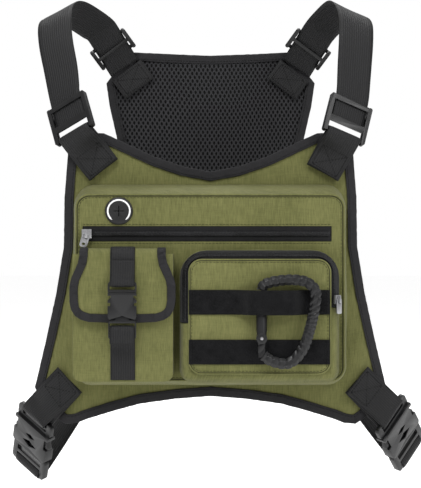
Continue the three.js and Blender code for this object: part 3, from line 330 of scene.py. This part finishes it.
# ---- mesh helpers -------------------------------------------------------------------------------
def piece(name, bm, material, body, replaces=()):
    """A new object from a bmesh, riding on a body and standing for CAD nodes."""
    mesh = bpy.data.meshes.new(name)
    bm.normal_update()
    bm.to_mesh(mesh)
    bm.free()
    mesh.materials.append(material)
    mesh.shade_smooth()
    made = bpy.data.objects.new(name, mesh)
    bpy.context.scene.collection.objects.link(made)
    if body:
        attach(made, body)
    if replaces:
        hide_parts(*replaces)
    return made


def clean_copy(node):
    """A CAD node's mesh with its triangles joined into flat faces."""
    bm = bmesh.new()
    bm.from_mesh(NODES[node].data)
    bmesh.ops.remove_doubles(bm, verts=bm.verts, dist=1e-5)
    bmesh.ops.dissolve_limit(bm, angle_limit=math.radians(1), verts=bm.verts, edges=bm.edges)
    return bm


def sharp_edges(bm, degrees=40):
    return [e for e in bm.edges if len(e.link_faces) == 2 and e.calc_face_angle(0) > math.radians(degrees)]


def round_over(bm, edges, width):
    bmesh.ops.bevel(bm, geom=edges, offset=width, segments=2, profile=0.5, affect="EDGES", clamp_overlap=True)


def slice_grid(bm, step, axes):
    """Cuts the faces along planes a step apart, so that they can bend."""
    for axis in axes:
        k = "xyz".index(axis)
        low = min(v.co[k] for v in bm.verts)
        high = max(v.co[k] for v in bm.verts)
        normal = Vector([float(i == k) for i in range(3)])
        count = int((high - low) / step)
        for i in range(1, count + 1):
            at = normal * (low + (high - low) * i / (count + 1))
            geometry = bm.verts[:] + bm.edges[:] + bm.faces[:]
            bmesh.ops.bisect_plane(bm, geom=geometry, dist=1e-7, plane_co=at, plane_no=normal)


def soft_copy(node, name, material, step, edge=0.5 * MM, axes="xz", bend=None):
    """A CAD node's shape with rounded edges, cut finely and bent by a function of place."""
    bm = clean_copy(node)
    if edge:
        round_over(bm, sharp_edges(bm), edge)
    bmesh.ops.triangulate(bm, faces=[f for f in bm.faces if len(f.verts) > 4])
    slice_grid(bm, step, axes)
    if bend:
        bm.normal_update()
        moved = [(v, bend(v.co, v.normal)) for v in bm.verts]
        for v, shift in moved:
            v.co += shift
    return piece(name, bm, material, BODY_OF[node], (node,))


def chains(edges):
    """Edges joined into runs of vertices that end where other than two meet. Closed runs repeat no vertex."""
    links = {}
    for e in edges:
        a, b = e.verts
        links.setdefault(a, []).append(b)
        links.setdefault(b, []).append(a)
    used = set()
    runs = []

    def walk(start, nxt):
        run = [start, nxt]
        used.add(frozenset((start, nxt)))
        while len(links[run[-1]]) == 2 and run[-1] is not run[0]:
            onward = [v for v in links[run[-1]] if frozenset((run[-1], v)) not in used]
            if not onward:
                break
            used.add(frozenset((run[-1], onward[0])))
            run.append(onward[0])
        return run

    for v in [v for v in links if len(links[v]) != 2] + list(links):
        for other in links[v]:
            if frozenset((v, other)) not in used:
                runs.append(walk(v, other))
    return runs


def length_of(run):
    return sum((b - a).length for a, b in zip(run, run[1:]))


def resample(run, count):
    """Evenly spaced points along a polyline."""
    total = length_of(run)
    out = []
    i, before = 0, 0.0
    for k in range(count):
        want = total * k / (count - 1)
        while i < len(run) - 2 and before + (run[i + 1] - run[i]).length < want:
            before += (run[i + 1] - run[i]).length
            i += 1
        span = (run[i + 1] - run[i]).length or 1e-9
        out.append(run[i].lerp(run[i + 1], min(1.0, max(0.0, (want - before) / span))))
    return out


# ---- webbing ------------------------------------------------------------------------------------
STRAIGHT = 60 * MM  # webbing isn't bent this near to its ends, where its hardware is
EASE = 40 * MM  # and takes its full bend this much further on
WEB_COLUMNS = 9


def cross_edges(node, width):
    """The edges straight across a flat ribbon, in the order in which its faces join them: down one face, over
    the far end, back along the other face and over the near end."""
    bm = bmesh.new()
    bm.from_mesh(NODES[node].data)
    bmesh.ops.remove_doubles(bm, verts=bm.verts, dist=1e-5)
    bmesh.ops.triangulate(bm, faces=bm.faces)
    crossing = [e for e in bm.edges if abs(e.calc_length() - width) < 0.006 * MM]
    owner = {v: e for e in crossing for v in e.verts}
    links = {e: set() for e in crossing}
    for e in crossing:
        for f in e.link_faces:
            for v in f.verts:
                if v in owner and owner[v] is not e:
                    links[e].add(owner[v])
                    links[owner[v]].add(e)
    ring = [crossing[0]]
    while len(ring) < len(crossing):
        onward = [e for e in links[ring[-1]] if e not in ring]
        if not onward:
            break
        ring.append(min(onward, key=lambda e: len(links[e])))
    pairs = [[v.co.copy() for v in e.verts] for e in ring]
    bm.free()
    for before, pair in zip(pairs, pairs[1:]):
        straight = (pair[0] - before[0]).length + (pair[1] - before[1]).length
        turned = (pair[1] - before[0]).length + (pair[0] - before[1]).length
        if turned < straight:
            pair.reverse()
    return pairs


def rails(node, width, thick):
    """Both long edges of a flat ribbon's mid surface as matched points, and the way its face looks there."""
    pairs = cross_edges(node, width)
    count = len(pairs)
    middle = [(a + b) / 2 for a, b in pairs]
    steps = [(middle[(k + 1) % count] - middle[k]).length for k in range(count)]
    ends = [k for k in range(count) if abs(steps[k] - thick) < 0.02 * MM]
    choices = [(i, j) for i in ends for j in ends if i < j]
    near, far = min(choices, key=lambda ij: abs(2 * (ij[1] - ij[0]) - count))
    face = pairs[near + 1:far + 1]
    other = [pairs[k % count] for k in range(far + 1, near + 1 + count)][::-1]
    sides = []
    for k in (0, 1):
        outer, inner = [p[k] for p in face], [p[k] for p in other]
        if len(outer) != len(inner):
            n = max(len(outer), len(inner))
            outer, inner = resample(outer, n), resample(inner, n)
        sides.append((outer, inner))
    left = [(a + b) / 2 for a, b in zip(*sides[0])]
    right = [(a + b) / 2 for a, b in zip(*sides[1])]
    look = []
    for a, b, p, q in zip(sides[0][0], sides[1][0], left, right):
        away = a + b - 2 * ((p + q) / 2)
        look.append(away.normalized() if away.length > 0 else FORWARD)
    return left, right, look


class Ribbon:
    """A ribbon's mid surface, with a point for each distance along it and share across it."""

    def __init__(self, node, width, thick, step):
        left, right, out = rails(node, width, thick)
        middle = [(a + b) / 2 for a, b in zip(left, right)]
        half = [(b - a) / 2 for a, b in zip(left, right)]
        self.length = length_of(middle)
        count = max(8, int(self.length / step) + 1)
        at = [0.0]
        for a, b in zip(middle, middle[1:]):
            at.append(at[-1] + (b - a).length)
        self.rows = []
        for k in range(count):
            want = self.length * k / (count - 1)
            last = len(at) - 2
            i = next((j for j in range(last + 1) if at[j + 1] >= want), last)
            t = (want - at[i]) / max(at[i + 1] - at[i], 1e-9)
            normal = out[i].lerp(out[i + 1], t).normalized()
            self.rows.append([middle[i].lerp(middle[i + 1], t), half[i].lerp(half[i + 1], t), normal, want])
        for _ in range(2):
            old = [r[0].copy() for r in self.rows]
            for i in range(1, count - 1):
                self.rows[i][0] = (old[i - 1] + 2 * old[i] + old[i + 1]) / 4
        self.thick = thick

    def place(self, share, at, lift=0.0):
        """A point on the face that looks forward: share across from -1 to 1, and the distance along."""
        k = min(len(self.rows) - 1.001, max(0.0, at / self.length * (len(self.rows) - 1)))
        i = int(k)
        a, b = self.rows[i], self.rows[i + 1]
        t = k - i
        middle = a[0].lerp(b[0], t) + a[1].lerp(b[1], t) * share
        normal = a[2].lerp(b[2], t).normalized()
        return middle + normal * (self.thick / 2 + lift) * (-1 if normal.y > 0 else 1)


def strap(node, name, width, thick=WEB_THICK, wave=0.0, cup=0.0, step=3 * MM, material=WEBBING):
    """Webbing with rounded selvedges. Wave and cup bend it away from its hardware."""
    ribbon = Ribbon(node, width, thick, step)
    bm = bmesh.new()
    web = bm.verts.layers.float_vector.new("web")
    shares = [-1 + 2 * i / (WEB_COLUMNS - 1) for i in range(WEB_COLUMNS)]
    rings = []
    for middle, half, normal, at in ribbon.rows:
        free = min(at, ribbon.length - at)
        share_free = min(1.0, max(0.0, (free - STRAIGHT) / EASE))
        drift = noise.noise(Vector((at * 9, width * 50, len(name)))) * wave * share_free
        ring = []
        for side in (1, -1):
            for u in shares if side > 0 else reversed(shares):
                edge = 1 - 0.5 * abs(u) ** 8
                bow = cup * share_free * (u * u - 0.4)
                point = middle + half * u * 0.998 + normal * (side * thick / 2 * edge + drift - bow)
                v = bm.verts.new(point)
                v[web] = (u * width / 2, at, 0.0)
                ring.append(v)
        rings.append(ring)
    for a, b in zip(rings, rings[1:]):
        for i in range(len(a)):
            j = (i + 1) % len(a)
            bm.faces.new((a[i], a[j], b[j], b[i]))
    bm.faces.new(list(reversed(rings[0])))
    bm.faces.new(rings[-1])
    bmesh.ops.recalc_face_normals(bm, faces=bm.faces)
    made = piece(name, bm, material, BODY_OF[node], (node,))
    return made, ribbon


# ---- threads ------------------------------------------------------------------------------------
def add_capsule(bm, a, b, radius):
    """A short rounded tube from a to b."""
    sides = 5
    along = (b - a).normalized()
    across = along.orthogonal().normalized()
    other = along.cross(across)
    rings = []
    for point, size in ((a, 0.5), (a.lerp(b, 0.2), 1.0), (a.lerp(b, 0.8), 1.0), (b, 0.5)):
        rings.append([bm.verts.new(point + (across * math.cos(t) + other * math.sin(t)) * radius * size)
                      for t in (2 * math.pi * k / sides for k in range(sides))])
    for low, high in zip(rings, rings[1:]):
        for i in range(sides):
            j = (i + 1) % sides
            bm.faces.new((low[i], low[j], high[j], high[i]))
    bm.faces.new(list(reversed(rings[0])))
    bm.faces.new(rings[-1])


def stitches(name, runs, body, thread=BLACK_THREAD):
    """Dashes of thread along runs of points that lie on the cloth."""
    bm = bmesh.new()
    for run in runs:
        total = length_of(run)
        count = max(1, round(total / (DASH + DASH_GAP)))
        fine = resample(run, 3 * count + 1)
        for k in range(count):
            a = fine[3 * k]
            b = a.lerp(fine[3 * k + 3], DASH / (DASH + DASH_GAP))
            if (b - a).length > 0.3 * MM:
                add_capsule(bm, a, b, THREAD_RADIUS)
    return piece(name, bm, thread, body)


def piping(name, loop, radius, material):
    """A round welt along a closed outline that lies nearly upright."""
    sides = 8
    bm = bmesh.new()
    count = len(loop) - 1
    rings = []
    for i in range(count):
        along = (loop[(i + 1) % count] - loop[i - 1]).normalized()
        across = along.cross(BACK).normalized()
        rings.append([bm.verts.new(loop[i] + (across * math.cos(t) + Vector((0, math.sin(t), 0))) * radius)
                      for t in (2 * math.pi * k / sides for k in range(sides))])
    for i in range(count):
        low, high = rings[i], rings[(i + 1) % count]
        for k in range(sides):
            bm.faces.new((low[k], low[(k + 1) % sides], high[(k + 1) % sides], high[k]))
    bmesh.ops.recalc_face_normals(bm, faces=bm.faces)
    return piece(name, bm, material, "vest")


def dropped(points, target):
    """Points moved straight back until they lie on the front of a piece."""
    bpy.context.view_layer.update()
    tree = BVHTree.FromObject(target, bpy.context.evaluated_depsgraph_get())
    out = []
    for p in points:
        hit = tree.ray_cast(p - BACK * 0.4, BACK, 0.9)[0]
        if hit:
            out.append(hit - BACK * ABOVE_CLOTH)
    return out


def rim_of(node):
    """The closed outline of a plate's front face."""
    bm = clean_copy(node)
    closed = [c for c in chains(sharp_edges(bm, 50)) if c[0] is c[-1] and len(c) > 8]
    loops = [[v.co.copy() for v in c] for c in closed]
    bm.free()
    loops.sort(key=lambda loop: -length_of(loop))
    return min(loops[:2], key=lambda loop: sum(p.y for p in loop) / len(loop))


def signed_inset(loop, distance, count):
    """A closed outline moved inwards in the X and Z plane, by distance."""
    points = resample(loop, count + 1)[:-1]
    area = sum(a.x * b.z - b.x * a.z for a, b in zip(points, points[1:] + points[:1]))
    sign = 1 if area > 0 else -1
    out = []
    for i, p in enumerate(points):
        t = points[(i + 1) % count] - points[i - 1]
        n = Vector((t.z, 0, -t.x)).normalized() * sign
        out.append(p - n * distance)
    return out + out[:1]


# ---- hardware -----------------------------------------------------------------------------------
def moulding(node, name, material, edge):
    """A CAD node's shape with its edges rounded over."""
    bm = clean_copy(node)
    round_over(bm, sharp_edges(bm, 30), edge)
    bm.normal_update()
    for e in bm.edges:
        e.smooth = len(e.link_faces) == 2 and e.calc_face_angle(0) < math.radians(35)
    return piece(name, bm, material, BODY_OF[node], (node,))


def ribbed_carabiner():
    """The bow has shallow grooves all round it."""
    low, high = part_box("carabiner_body")
    centre = (Vector(low) + Vector(high)) / 2
    grooves = 38

    def bend(p, n):
        angle = math.atan2(p.z - centre.z, p.x - centre.x)
        groove = max(0.0, math.cos(grooves * angle)) ** 2
        return -n * 0.9 * MM * groove

    soft_copy("carabiner_body", "carabiner_bow", PLASTIC, 1.1 * MM, 0.3 * MM, bend=bend)


def hardware():
    for side in ("left", "right"):
        moulding(f"ladder_lock_{side}", f"ladder_lock_{side}_moulding", PLASTIC, 0.7 * MM)
        moulding(f"tri_glide_{side}", f"tri_glide_{side}_moulding", PLASTIC, 0.6 * MM)
        for half in ("female", "male", "prong_left", "prong_right"):
            node = f"waist_{side}_{half}"
            moulding(node, node + "_moulding", PLASTIC, 0.8 * MM)
    for half in ("female", "male", "prong_left", "prong_right"):
        node = f"pouch_buckle_{half}"
        moulding(node, node + "_moulding", PLASTIC, 0.5 * MM)
    moulding("carabiner_gate", "carabiner_gate_moulding", PLASTIC, 0.5 * MM)
    moulding("carabiner_gate_pin", "carabiner_pin_steel", GUNMETAL, 0.2 * MM)
    for node in ("main_zip_slider", "main_zip_pull", "zip_pouch_slider", "zip_pouch_pull"):
        moulding(node, node + "_plated", GUNMETAL, 0.28 * MM)
    ribbed_carabiner()


def earphone_port():
    moulding("earphone_port", "earphone_port_rubber", RUBBER, 0.25 * MM)
    moulding("port_backing_ring", "port_backing_rubber", RUBBER, 0.25 * MM)
    low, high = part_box("earphone_port")
    centre = (Vector(low) + Vector(high)) / 2
    radius = (high[0] - low[0]) / 2 * 0.79
    start, end = math.radians(-52), math.radians(232)
    steps, sides = 48, 8
    bm = bmesh.new()
    angles = [start + (end - start) * i / steps for i in range(steps + 1)]
    points = [Vector((centre.x + radius * math.cos(a), low[1] + 0.25 * MM, centre.z + radius * math.sin(a)))
              for a in angles]
    rings = []
    for i, p in enumerate(points):
        out = Vector((p.x - centre.x, 0, p.z - centre.z)).normalized()
        size = 0.95 * MM * min(1.0, 0.35 + 0.65 * min(i, steps - i) / 2)
        rings.append([bm.verts.new(p + out * size * math.cos(t) + Vector((0, 0.42 * size * math.sin(t), 0)))
                      for t in (2 * math.pi * k / sides for k in range(sides))])
    for a, b in zip(rings, rings[1:]):
        for k in range(sides):
            bm.faces.new((a[k], a[(k + 1) % sides], b[(k + 1) % sides], b[k]))
    bm.faces.new(list(reversed(rings[0])))
    bm.faces.new(rings[-1])
    bmesh.ops.recalc_face_normals(bm, faces=bm.faces)
    piece("earphone_port_mark", bm, WHITE, BODY_OF["earphone_port"])


# ---- cloth --------------------------------------------------------------------------------------
def bound(node, name, outline, swell=0.35 * MM):
    """Folded tape round an edge: it carries its distance along the edge, and puckers between stitches."""
    pitch = 0.5 * MM
    fine = resample(outline, int(length_of(outline) / pitch))
    tree = KDTree(len(fine))
    for i, p in enumerate(fine):
        tree.insert(p, i)
    tree.balance()

    def bend(p, n):
        _, i, away = tree.find(p)
        at = i * pitch
        lump = noise.noise(Vector((at / (5 * MM), away * 80, 3.0))) + 0.4
        return n * swell * max(0.0, lump)

    made = soft_copy(node, name, TAPE, 4 * MM, 0.5 * MM, bend=bend)
    web = made.data.attributes.new("web", "FLOAT_VECTOR", "POINT")
    for i, v in enumerate(made.data.vertices):
        _, k, away = tree.find(v.co)
        web.data[i].vector = (away, k * pitch, 0.0)
    return made


def front_panel():
    outline = rim_of("panel_shell")
    shell = soft_copy("panel_shell", "front_panel_cloth", OLIVE, 8 * MM, 0.3 * MM)
    lining = soft_copy("panel_lining", "front_panel_lining", LINING, 12 * MM, 0.3 * MM)
    foam = soft_copy("panel_foam", "front_panel_padding", FOAM, 16 * MM, 0.3 * MM)
    binding = bound("panel_binding", "front_panel_binding", outline)
    loop = signed_inset(outline, 5.6 * MM, 420)
    stitches("front_panel_stitching", [dropped(loop, binding)], "vest")


def pocket_bulge(centre, front, back, swell, crease):
    """The sides of a pocket swell between their two seams."""

    def bend(p, n):
        share = min(1.0, max(0.0, (p.y - front) / (back - front)))
        radial = Vector((p.x - centre.x, 0, p.z - centre.z))
        out = n if n.dot(radial) > 0 else -n
        out = Vector((out.x, 0, out.z))
        arch = math.sin(math.pi * share)
        lump = noise.noise(p * 28) * crease
        return out * arch * (swell + lump)

    return bend


def main_pocket():
    low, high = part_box("main_pocket_gusset")
    centre = (Vector(low) + Vector(high)) / 2
    bend = pocket_bulge(centre, low[1], high[1], 1.4 * MM, 1.6 * MM)
    gusset = soft_copy("main_pocket_gusset", "main_pocket_sides", OLIVE, 7 * MM, 0.35 * MM, "xyz", bend)
    front = soft_copy("main_pocket_front", "main_pocket_cloth", OLIVE, 7 * MM, 0.5 * MM)
    outline = rim_of("main_pocket_front")
    piping("main_pocket_welt", signed_inset(outline, 0.2 * MM, 300), 0.9 * MM, OLIVE)
    # A thin dark tube just inside the welt, painted shade for the seam groove.
    piping("main_pocket_seam_shade", signed_inset(outline, 1.5 * MM, 300), 0.5 * MM, SEAM_SHADE_THREAD)
    rows = [dropped(signed_inset(outline, 3.2 * MM, 300), front)]
    x0, _, z0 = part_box("main_zip_tape_lower")[0]
    x1, _, z1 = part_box("main_zip_tape_upper")[1]
    for z in (z0 - 2 * MM, z1 + 2 * MM):
        rows.append(dropped([Vector((x0 + (x1 - x0) * i / 60, low[1], z)) for i in range(61)], front))
    stitches("main_pocket_stitching", rows, "vest", OLIVE_THREAD)
    for part in ("upper", "lower"):
        soft_copy(f"main_zip_tape_{part}", f"main_zip_cloth_{part}", ZIP_TAPE, 9 * MM, 0.3 * MM, "x")
    x0, y0, z0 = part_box("main_zip_coil")[0]
    x1, y1, z1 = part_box("main_zip_coil")[1]
    count = int((x1 - x0) / TOOTH_PITCH)
    places = [Vector((x0 + TOOTH_PITCH * i, (y0 + y1) / 2, (z0 + z1) / 2)) for i in range(1, count)]
    frames = [(p, Vector((0, 0, 1)), FORWARD) for p in places]
    teeth("main_zip_teeth", frames, (z1 - z0) / 2, "vest", ("main_zip_coil",))


def teeth(name, frames, half, body, nodes):
    """The two rows of a closed coil zip, one tooth from each side in turn."""
    bm = bmesh.new()
    for i, (p, across, normal) in enumerate(frames):
        side = 1 if i % 2 else -1
        root = p + across * half * side - normal * 0.25 * MM
        tip = p - across * half * 0.12 * side + normal * 0.12 * MM
        add_capsule(bm, root, tip, 0.66 * MM)
    return piece(name, bm, COIL, body, nodes)


def flap_pouch():
    low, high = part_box("flap_pouch_body")
    body = soft_copy("flap_pouch_body", "flap_pouch_cloth", OLIVE, 6 * MM, 0.8 * MM, "xyz")

    def curl(p, n):
        side = abs(p.x - (low[0] + high[0]) / 2) / 0.052
        hang = min(1.0, max(0.0, (0.02 - p.z) / 0.06))
        wave = noise.noise(Vector((p.x * 30, 0, p.z * 26)))
        free = min(1.0, max(0.0, (side - 0.32) / 0.3))
        return FORWARD * hang * free * (0.9 + 1.1 * wave) * MM

    flap = soft_copy("pouch_flap", "pouch_flap_cloth", OLIVE, 4 * MM, 0.4 * MM, "xyz", curl)
    binding = bound("flap_binding", "pouch_flap_binding", hem_path("flap_binding"), swell=0.3 * MM)
    for v in binding.data.vertices:
        v.co += curl(v.co, None)


def hem_path(node):
    """The middle of an open binding, from one end round to the other, by angle about its centre."""
    low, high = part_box(node)
    centre = Vector(((low[0] + high[0]) / 2, 0, high[2] - 5 * MM))
    bins = 90
    sums = [[Vector(), 0] for _ in range(bins)]
    for v in NODES[node].data.vertices:
        angle = math.atan2(v.co.z - centre.z, v.co.x - centre.x)
        k = int(((angle + math.pi / 2) % (2 * math.pi)) / (2 * math.pi) * bins) % bins
        sums[k][0] += v.co
        sums[k][1] += 1
    start = bins // 4
    order = [(start + i) % bins for i in range(bins)]
    return [sums[k][0] / sums[k][1] for k in order if sums[k][1]]


def banded_pouch():
    low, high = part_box("zip_pouch_gusset")
    centre = (Vector(low) + Vector(high)) / 2
    sides = soft_copy("zip_pouch_gusset", "banded_pouch_sides", OLIVE, 6 * MM, 0.4 * MM, "xyz",
                      pocket_bulge(centre, low[1], high[1], 0.5 * MM, 0.8 * MM))
    bands = [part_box(n) for n in ("band_upper", "band_lower")]

    def puff(p, n):
        away = min(max(b[0][2] - p.z, p.z - b[1][2]) for b in bands)
        free = min(1.0, max(0.0, away / (9 * MM)))
        margin = 9 * MM
        across = min(p.x - low[0] - margin, high[0] - margin - p.x)
        up = min(p.z - low[2] - margin, high[2] - margin - p.z)
        held = min(1.0, max(0.0, min(across, up) / (12 * MM)))
        lump = 0.8 + 0.7 * noise.noise(p * 24)
        return FORWARD * free * free * (3 - 2 * free) * held * lump * 1.7 * MM

    front = soft_copy("zip_pouch_front", "banded_pouch_cloth", OLIVE, 4 * MM, 0.5 * MM, bend=puff)
    rim = rim_of("zip_pouch_front")
    fine = resample(rim, 400)
    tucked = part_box("zip_pouch_front")[1][1] + 1.5 * MM

    def close_corner(p, n):
        flat = Vector((p.x, 0, p.z))
        nearest = min((Vector((q.x, 0, q.z)) for q in fine), key=lambda q: (q - flat).length_squared)
        middle = Vector((centre.x, 0, centre.z))
        outside = (flat - middle).length > (nearest - middle).length
        return (nearest - flat) * 0.95 if p.y < tucked and outside else Vector()

    lower = soft_copy("zip_pouch_lower_gusset", "banded_pouch_lower_side", OLIVE, 6 * MM, 0,
                      bend=close_corner)
    soft_copy("zip_pouch_tapes", "banded_pouch_zip_cloth", ZIP_TAPE, 6 * MM, 0)
    outer = rim_of("zip_pouch_gusset")
    inner = resample(rim, 900)
    stitches("banded_pouch_stitching", [dropped(signed_inset(rim, 3 * MM, 220), front)],
             "vest", OLIVE_THREAD)
    piping("banded_pouch_welt", signed_inset(rim, 0.3 * MM, 260), 0.85 * MM, OLIVE)
    # A thin dark tube just inside the welt, painted shade for the seam groove.
    piping("banded_pouch_seam_shade", signed_inset(rim, 1.4 * MM, 260), 0.45 * MM, SEAM_SHADE_THREAD)
    points = resample(outer, int(length_of(outer) / TOOTH_PITCH))
    middle = (low[0] + high[0]) / 2
    left_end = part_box("zip_pouch_coil")[0][2]
    right_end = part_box("zip_pouch_slider")[0][2] - 1 * MM
    frames = []
    for i, p in enumerate(points[:-1]):
        if p.z < (right_end if p.x > middle else left_end):
            continue
        q = min(inner, key=lambda c: (c - p).length_squared)
        across = (q - p).normalized()
        normal = (points[i + 1] - p).normalized().cross(across)
        if normal.y > 0:
            normal.negate()
        frames.append((p.lerp(q, 0.52) + normal * 0.55 * MM, across, normal))
    teeth("banded_pouch_zip_teeth", frames, 2.4 * MM, "vest", ("zip_pouch_coil",))
    for node in ("band_upper", "band_lower"):
        _, ribbon = strap(node, node + "_webbing", POUCH_WEB, BAND_THICK, material=LOOP)
        ends = [[ribbon.place(u, at, ABOVE_CLOTH) for u in (-0.9, -0.3, 0.3, 0.9)]
                for at in (3 * MM, 5 * MM, ribbon.length - 5 * MM, ribbon.length - 3 * MM)]
        stitches(node + "_stitching", ends, "vest")


def back_pad():
    low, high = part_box("pad_mesh")
    patches = [(Vector(a) + Vector(b)) / 2 for a, b in (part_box("pad_patch_left"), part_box("pad_patch_right"))]
    middle = (low[0] + high[0]) / 2

    def crown(share):
        def bend(p, n):
            half = 0.5 * (high[0] - low[0]) * (0.6 + 0.4 * (p.z - low[2]) / 0.27)
            across = 1 - (abs(p.x - middle) / half) ** 2
            up = min(1.0, max(0.0, min(p.z - low[2], high[2] - p.z) / (60 * MM)))
            nearest = min((Vector((p.x, 0, p.z)) - Vector((q.x, 0, q.z))).length for q in patches)
            clear = min(1.0, max(0.0, (nearest - 34 * MM) / (40 * MM)))
            return FORWARD * max(0.0, across) * up * clear * share * 5 * MM

        return bend

    mesh = soft_copy("pad_mesh", "back_pad_mesh", MESH, 8 * MM, 0.6 * MM, bend=crown(1.0))
    foam = soft_copy("pad_foam", "back_pad_padding", PAD_COVER, 12 * MM, 0.6 * MM, bend=crown(0.0))
    outline = rim_of("pad_mesh")
    binding = bound("pad_binding", "back_pad_binding", outline)
    stitches("back_pad_stitching", [dropped(signed_inset(outline, 5.6 * MM, 300), binding)], "back")


def box_stitch(ribbon, near, far, share=0.78):
    """The outline of a box with a cross in it, on the face of a ribbon that looks forward."""
    if ribbon.rows[0][0].y > ribbon.rows[-1][0].y + 0.5 * MM:
        near, far = ribbon.length - near, ribbon.length - far
    corners = [(-share, near), (share, near), (share, far), (-share, far)]

    def line(a, b):
        steps = 12
        return [ribbon.place(a[0] + (b[0] - a[0]) * i / steps, a[1] + (b[1] - a[1]) * i / steps, ABOVE_CLOTH)
                for i in range(steps + 1)]

    sides = [line(corners[i], corners[(i + 1) % 4]) for i in range(4)]
    return sides + [line(corners[0], corners[2]), line(corners[1], corners[3])]


def all_webbing():
    for side in ("left", "right"):
        long_run, _ = strap(f"shoulder_strap_{side}", f"shoulder_webbing_{side}", SHOULDER_WEB, wave=1.2 * MM,
                            cup=0.7 * MM)
        long_run.parent = None
        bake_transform(long_run)
        waist_run, _ = strap(f"waist_strap_{side}", f"waist_webbing_{side}", SHOULDER_WEB, wave=1.5 * MM,
                             cup=0.6 * MM)
        waist_run.parent = None
        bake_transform(waist_run)
        for node in (f"shoulder_tab_{side}", f"waist_tab_{side}"):
            _, tab = strap(node, node + "_webbing", SHOULDER_WEB, step=2 * MM)
            stitches(node + "_stitching", box_stitch(tab, 3 * MM, 27 * MM), "vest")
        _, patch = strap(f"pad_patch_{side}", f"pad_patch_{side}_webbing", PATCH_WEB)
        stitches(f"pad_patch_{side}_stitching", box_stitch(patch, 3 * MM, patch.length - 3 * MM), "back")
    strap("flap_webbing", "flap_webbing_run", POUCH_WEB, step=1.5 * MM)
    hanging, _ = strap("pouch_webbing", "pouch_webbing_run", POUCH_WEB, step=1.5 * MM)
    hanging.parent = None
    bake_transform(hanging)


# ---- studio -------------------------------------------------------------------------------------
WHITE_PAPER = (0.93, 0.93, 0.93, 1)
FLOOR_GLOW = 0.45  # keeps the far floor as pale as the sky behind it
FLOOR_HALF = 12
FLOOR_DROP = 0.03  # from the lowest buckle down to the floor
SKY_LIGHT = 0.6
LAMPS = (  # the place, size and watts of each
    ((-0.6, -1.5, 1.9), 0.8, 36),
    ((1.5, -1.6, 1.3), 1.0, 22),
    ((0, 0.9, 1.7), 1.0, 18),
)
CAMERA_PLACE = (0, -1.6, 0.043)
CAMERA_LENS = 127.9
SENSOR_WIDTH = 36


def studio():
    floor = Shader("studio_white", 0.9)
    floor.colour(WHITE_PAPER)
    floor.surface.inputs["Emission Color"].default_value = WHITE_PAPER
    floor.surface.inputs["Emission Strength"].default_value = FLOOR_GLOW
    low = SIZE_BEFORE[0][2] - FLOOR_DROP
    bm = bmesh.new()
    at = Matrix.Translation((0, 0, low))
    bmesh.ops.create_grid(bm, x_segments=1, y_segments=1, size=FLOOR_HALF, matrix=at)
    piece("studio_floor", bm, floor.material, None)

    world = bpy.data.worlds.new("studio_light")
    bpy.context.scene.world = world
    world.use_nodes = True
    sky = world.node_tree.nodes["Background"]
    sky.inputs["Color"].default_value = (1, 1, 1, 1)
    seen = world.node_tree.nodes.new("ShaderNodeLightPath").outputs["Is Camera Ray"]
    strength = world.node_tree.nodes.new("ShaderNodeMapRange")
    strength.inputs[3].default_value = SKY_LIGHT
    world.node_tree.links.new(seen, strength.inputs[0])
    world.node_tree.links.new(strength.outputs[0], sky.inputs["Strength"])
    for place, size, power in LAMPS:
        light = bpy.data.lights.new("studio_area", "AREA")
        light.size = size
        light.energy = power
        lamp = bpy.data.objects.new("studio_area", light)
        lamp.location = place
        lamp.rotation_euler = (Vector((0, 0, 0.05)) - Vector(place)).to_track_quat("-Z", "Y").to_euler()
        bpy.context.scene.collection.objects.link(lamp)

    data = bpy.data.cameras.new("camera")
    data.sensor_fit = "HORIZONTAL"
    data.sensor_width = SENSOR_WIDTH
    data.lens = CAMERA_LENS
    camera = bpy.data.objects.new("camera", data)
    camera.location = CAMERA_PLACE
    camera.rotation_euler = (math.radians(90), 0, 0)
    bpy.context.scene.collection.objects.link(camera)
    bpy.context.scene.camera = camera
    bpy.context.scene.view_settings.view_transform = "Standard"


front_panel()
main_pocket()
flap_pouch()
banded_pouch()
earphone_port()
back_pad()
all_webbing()
hardware()
studio()
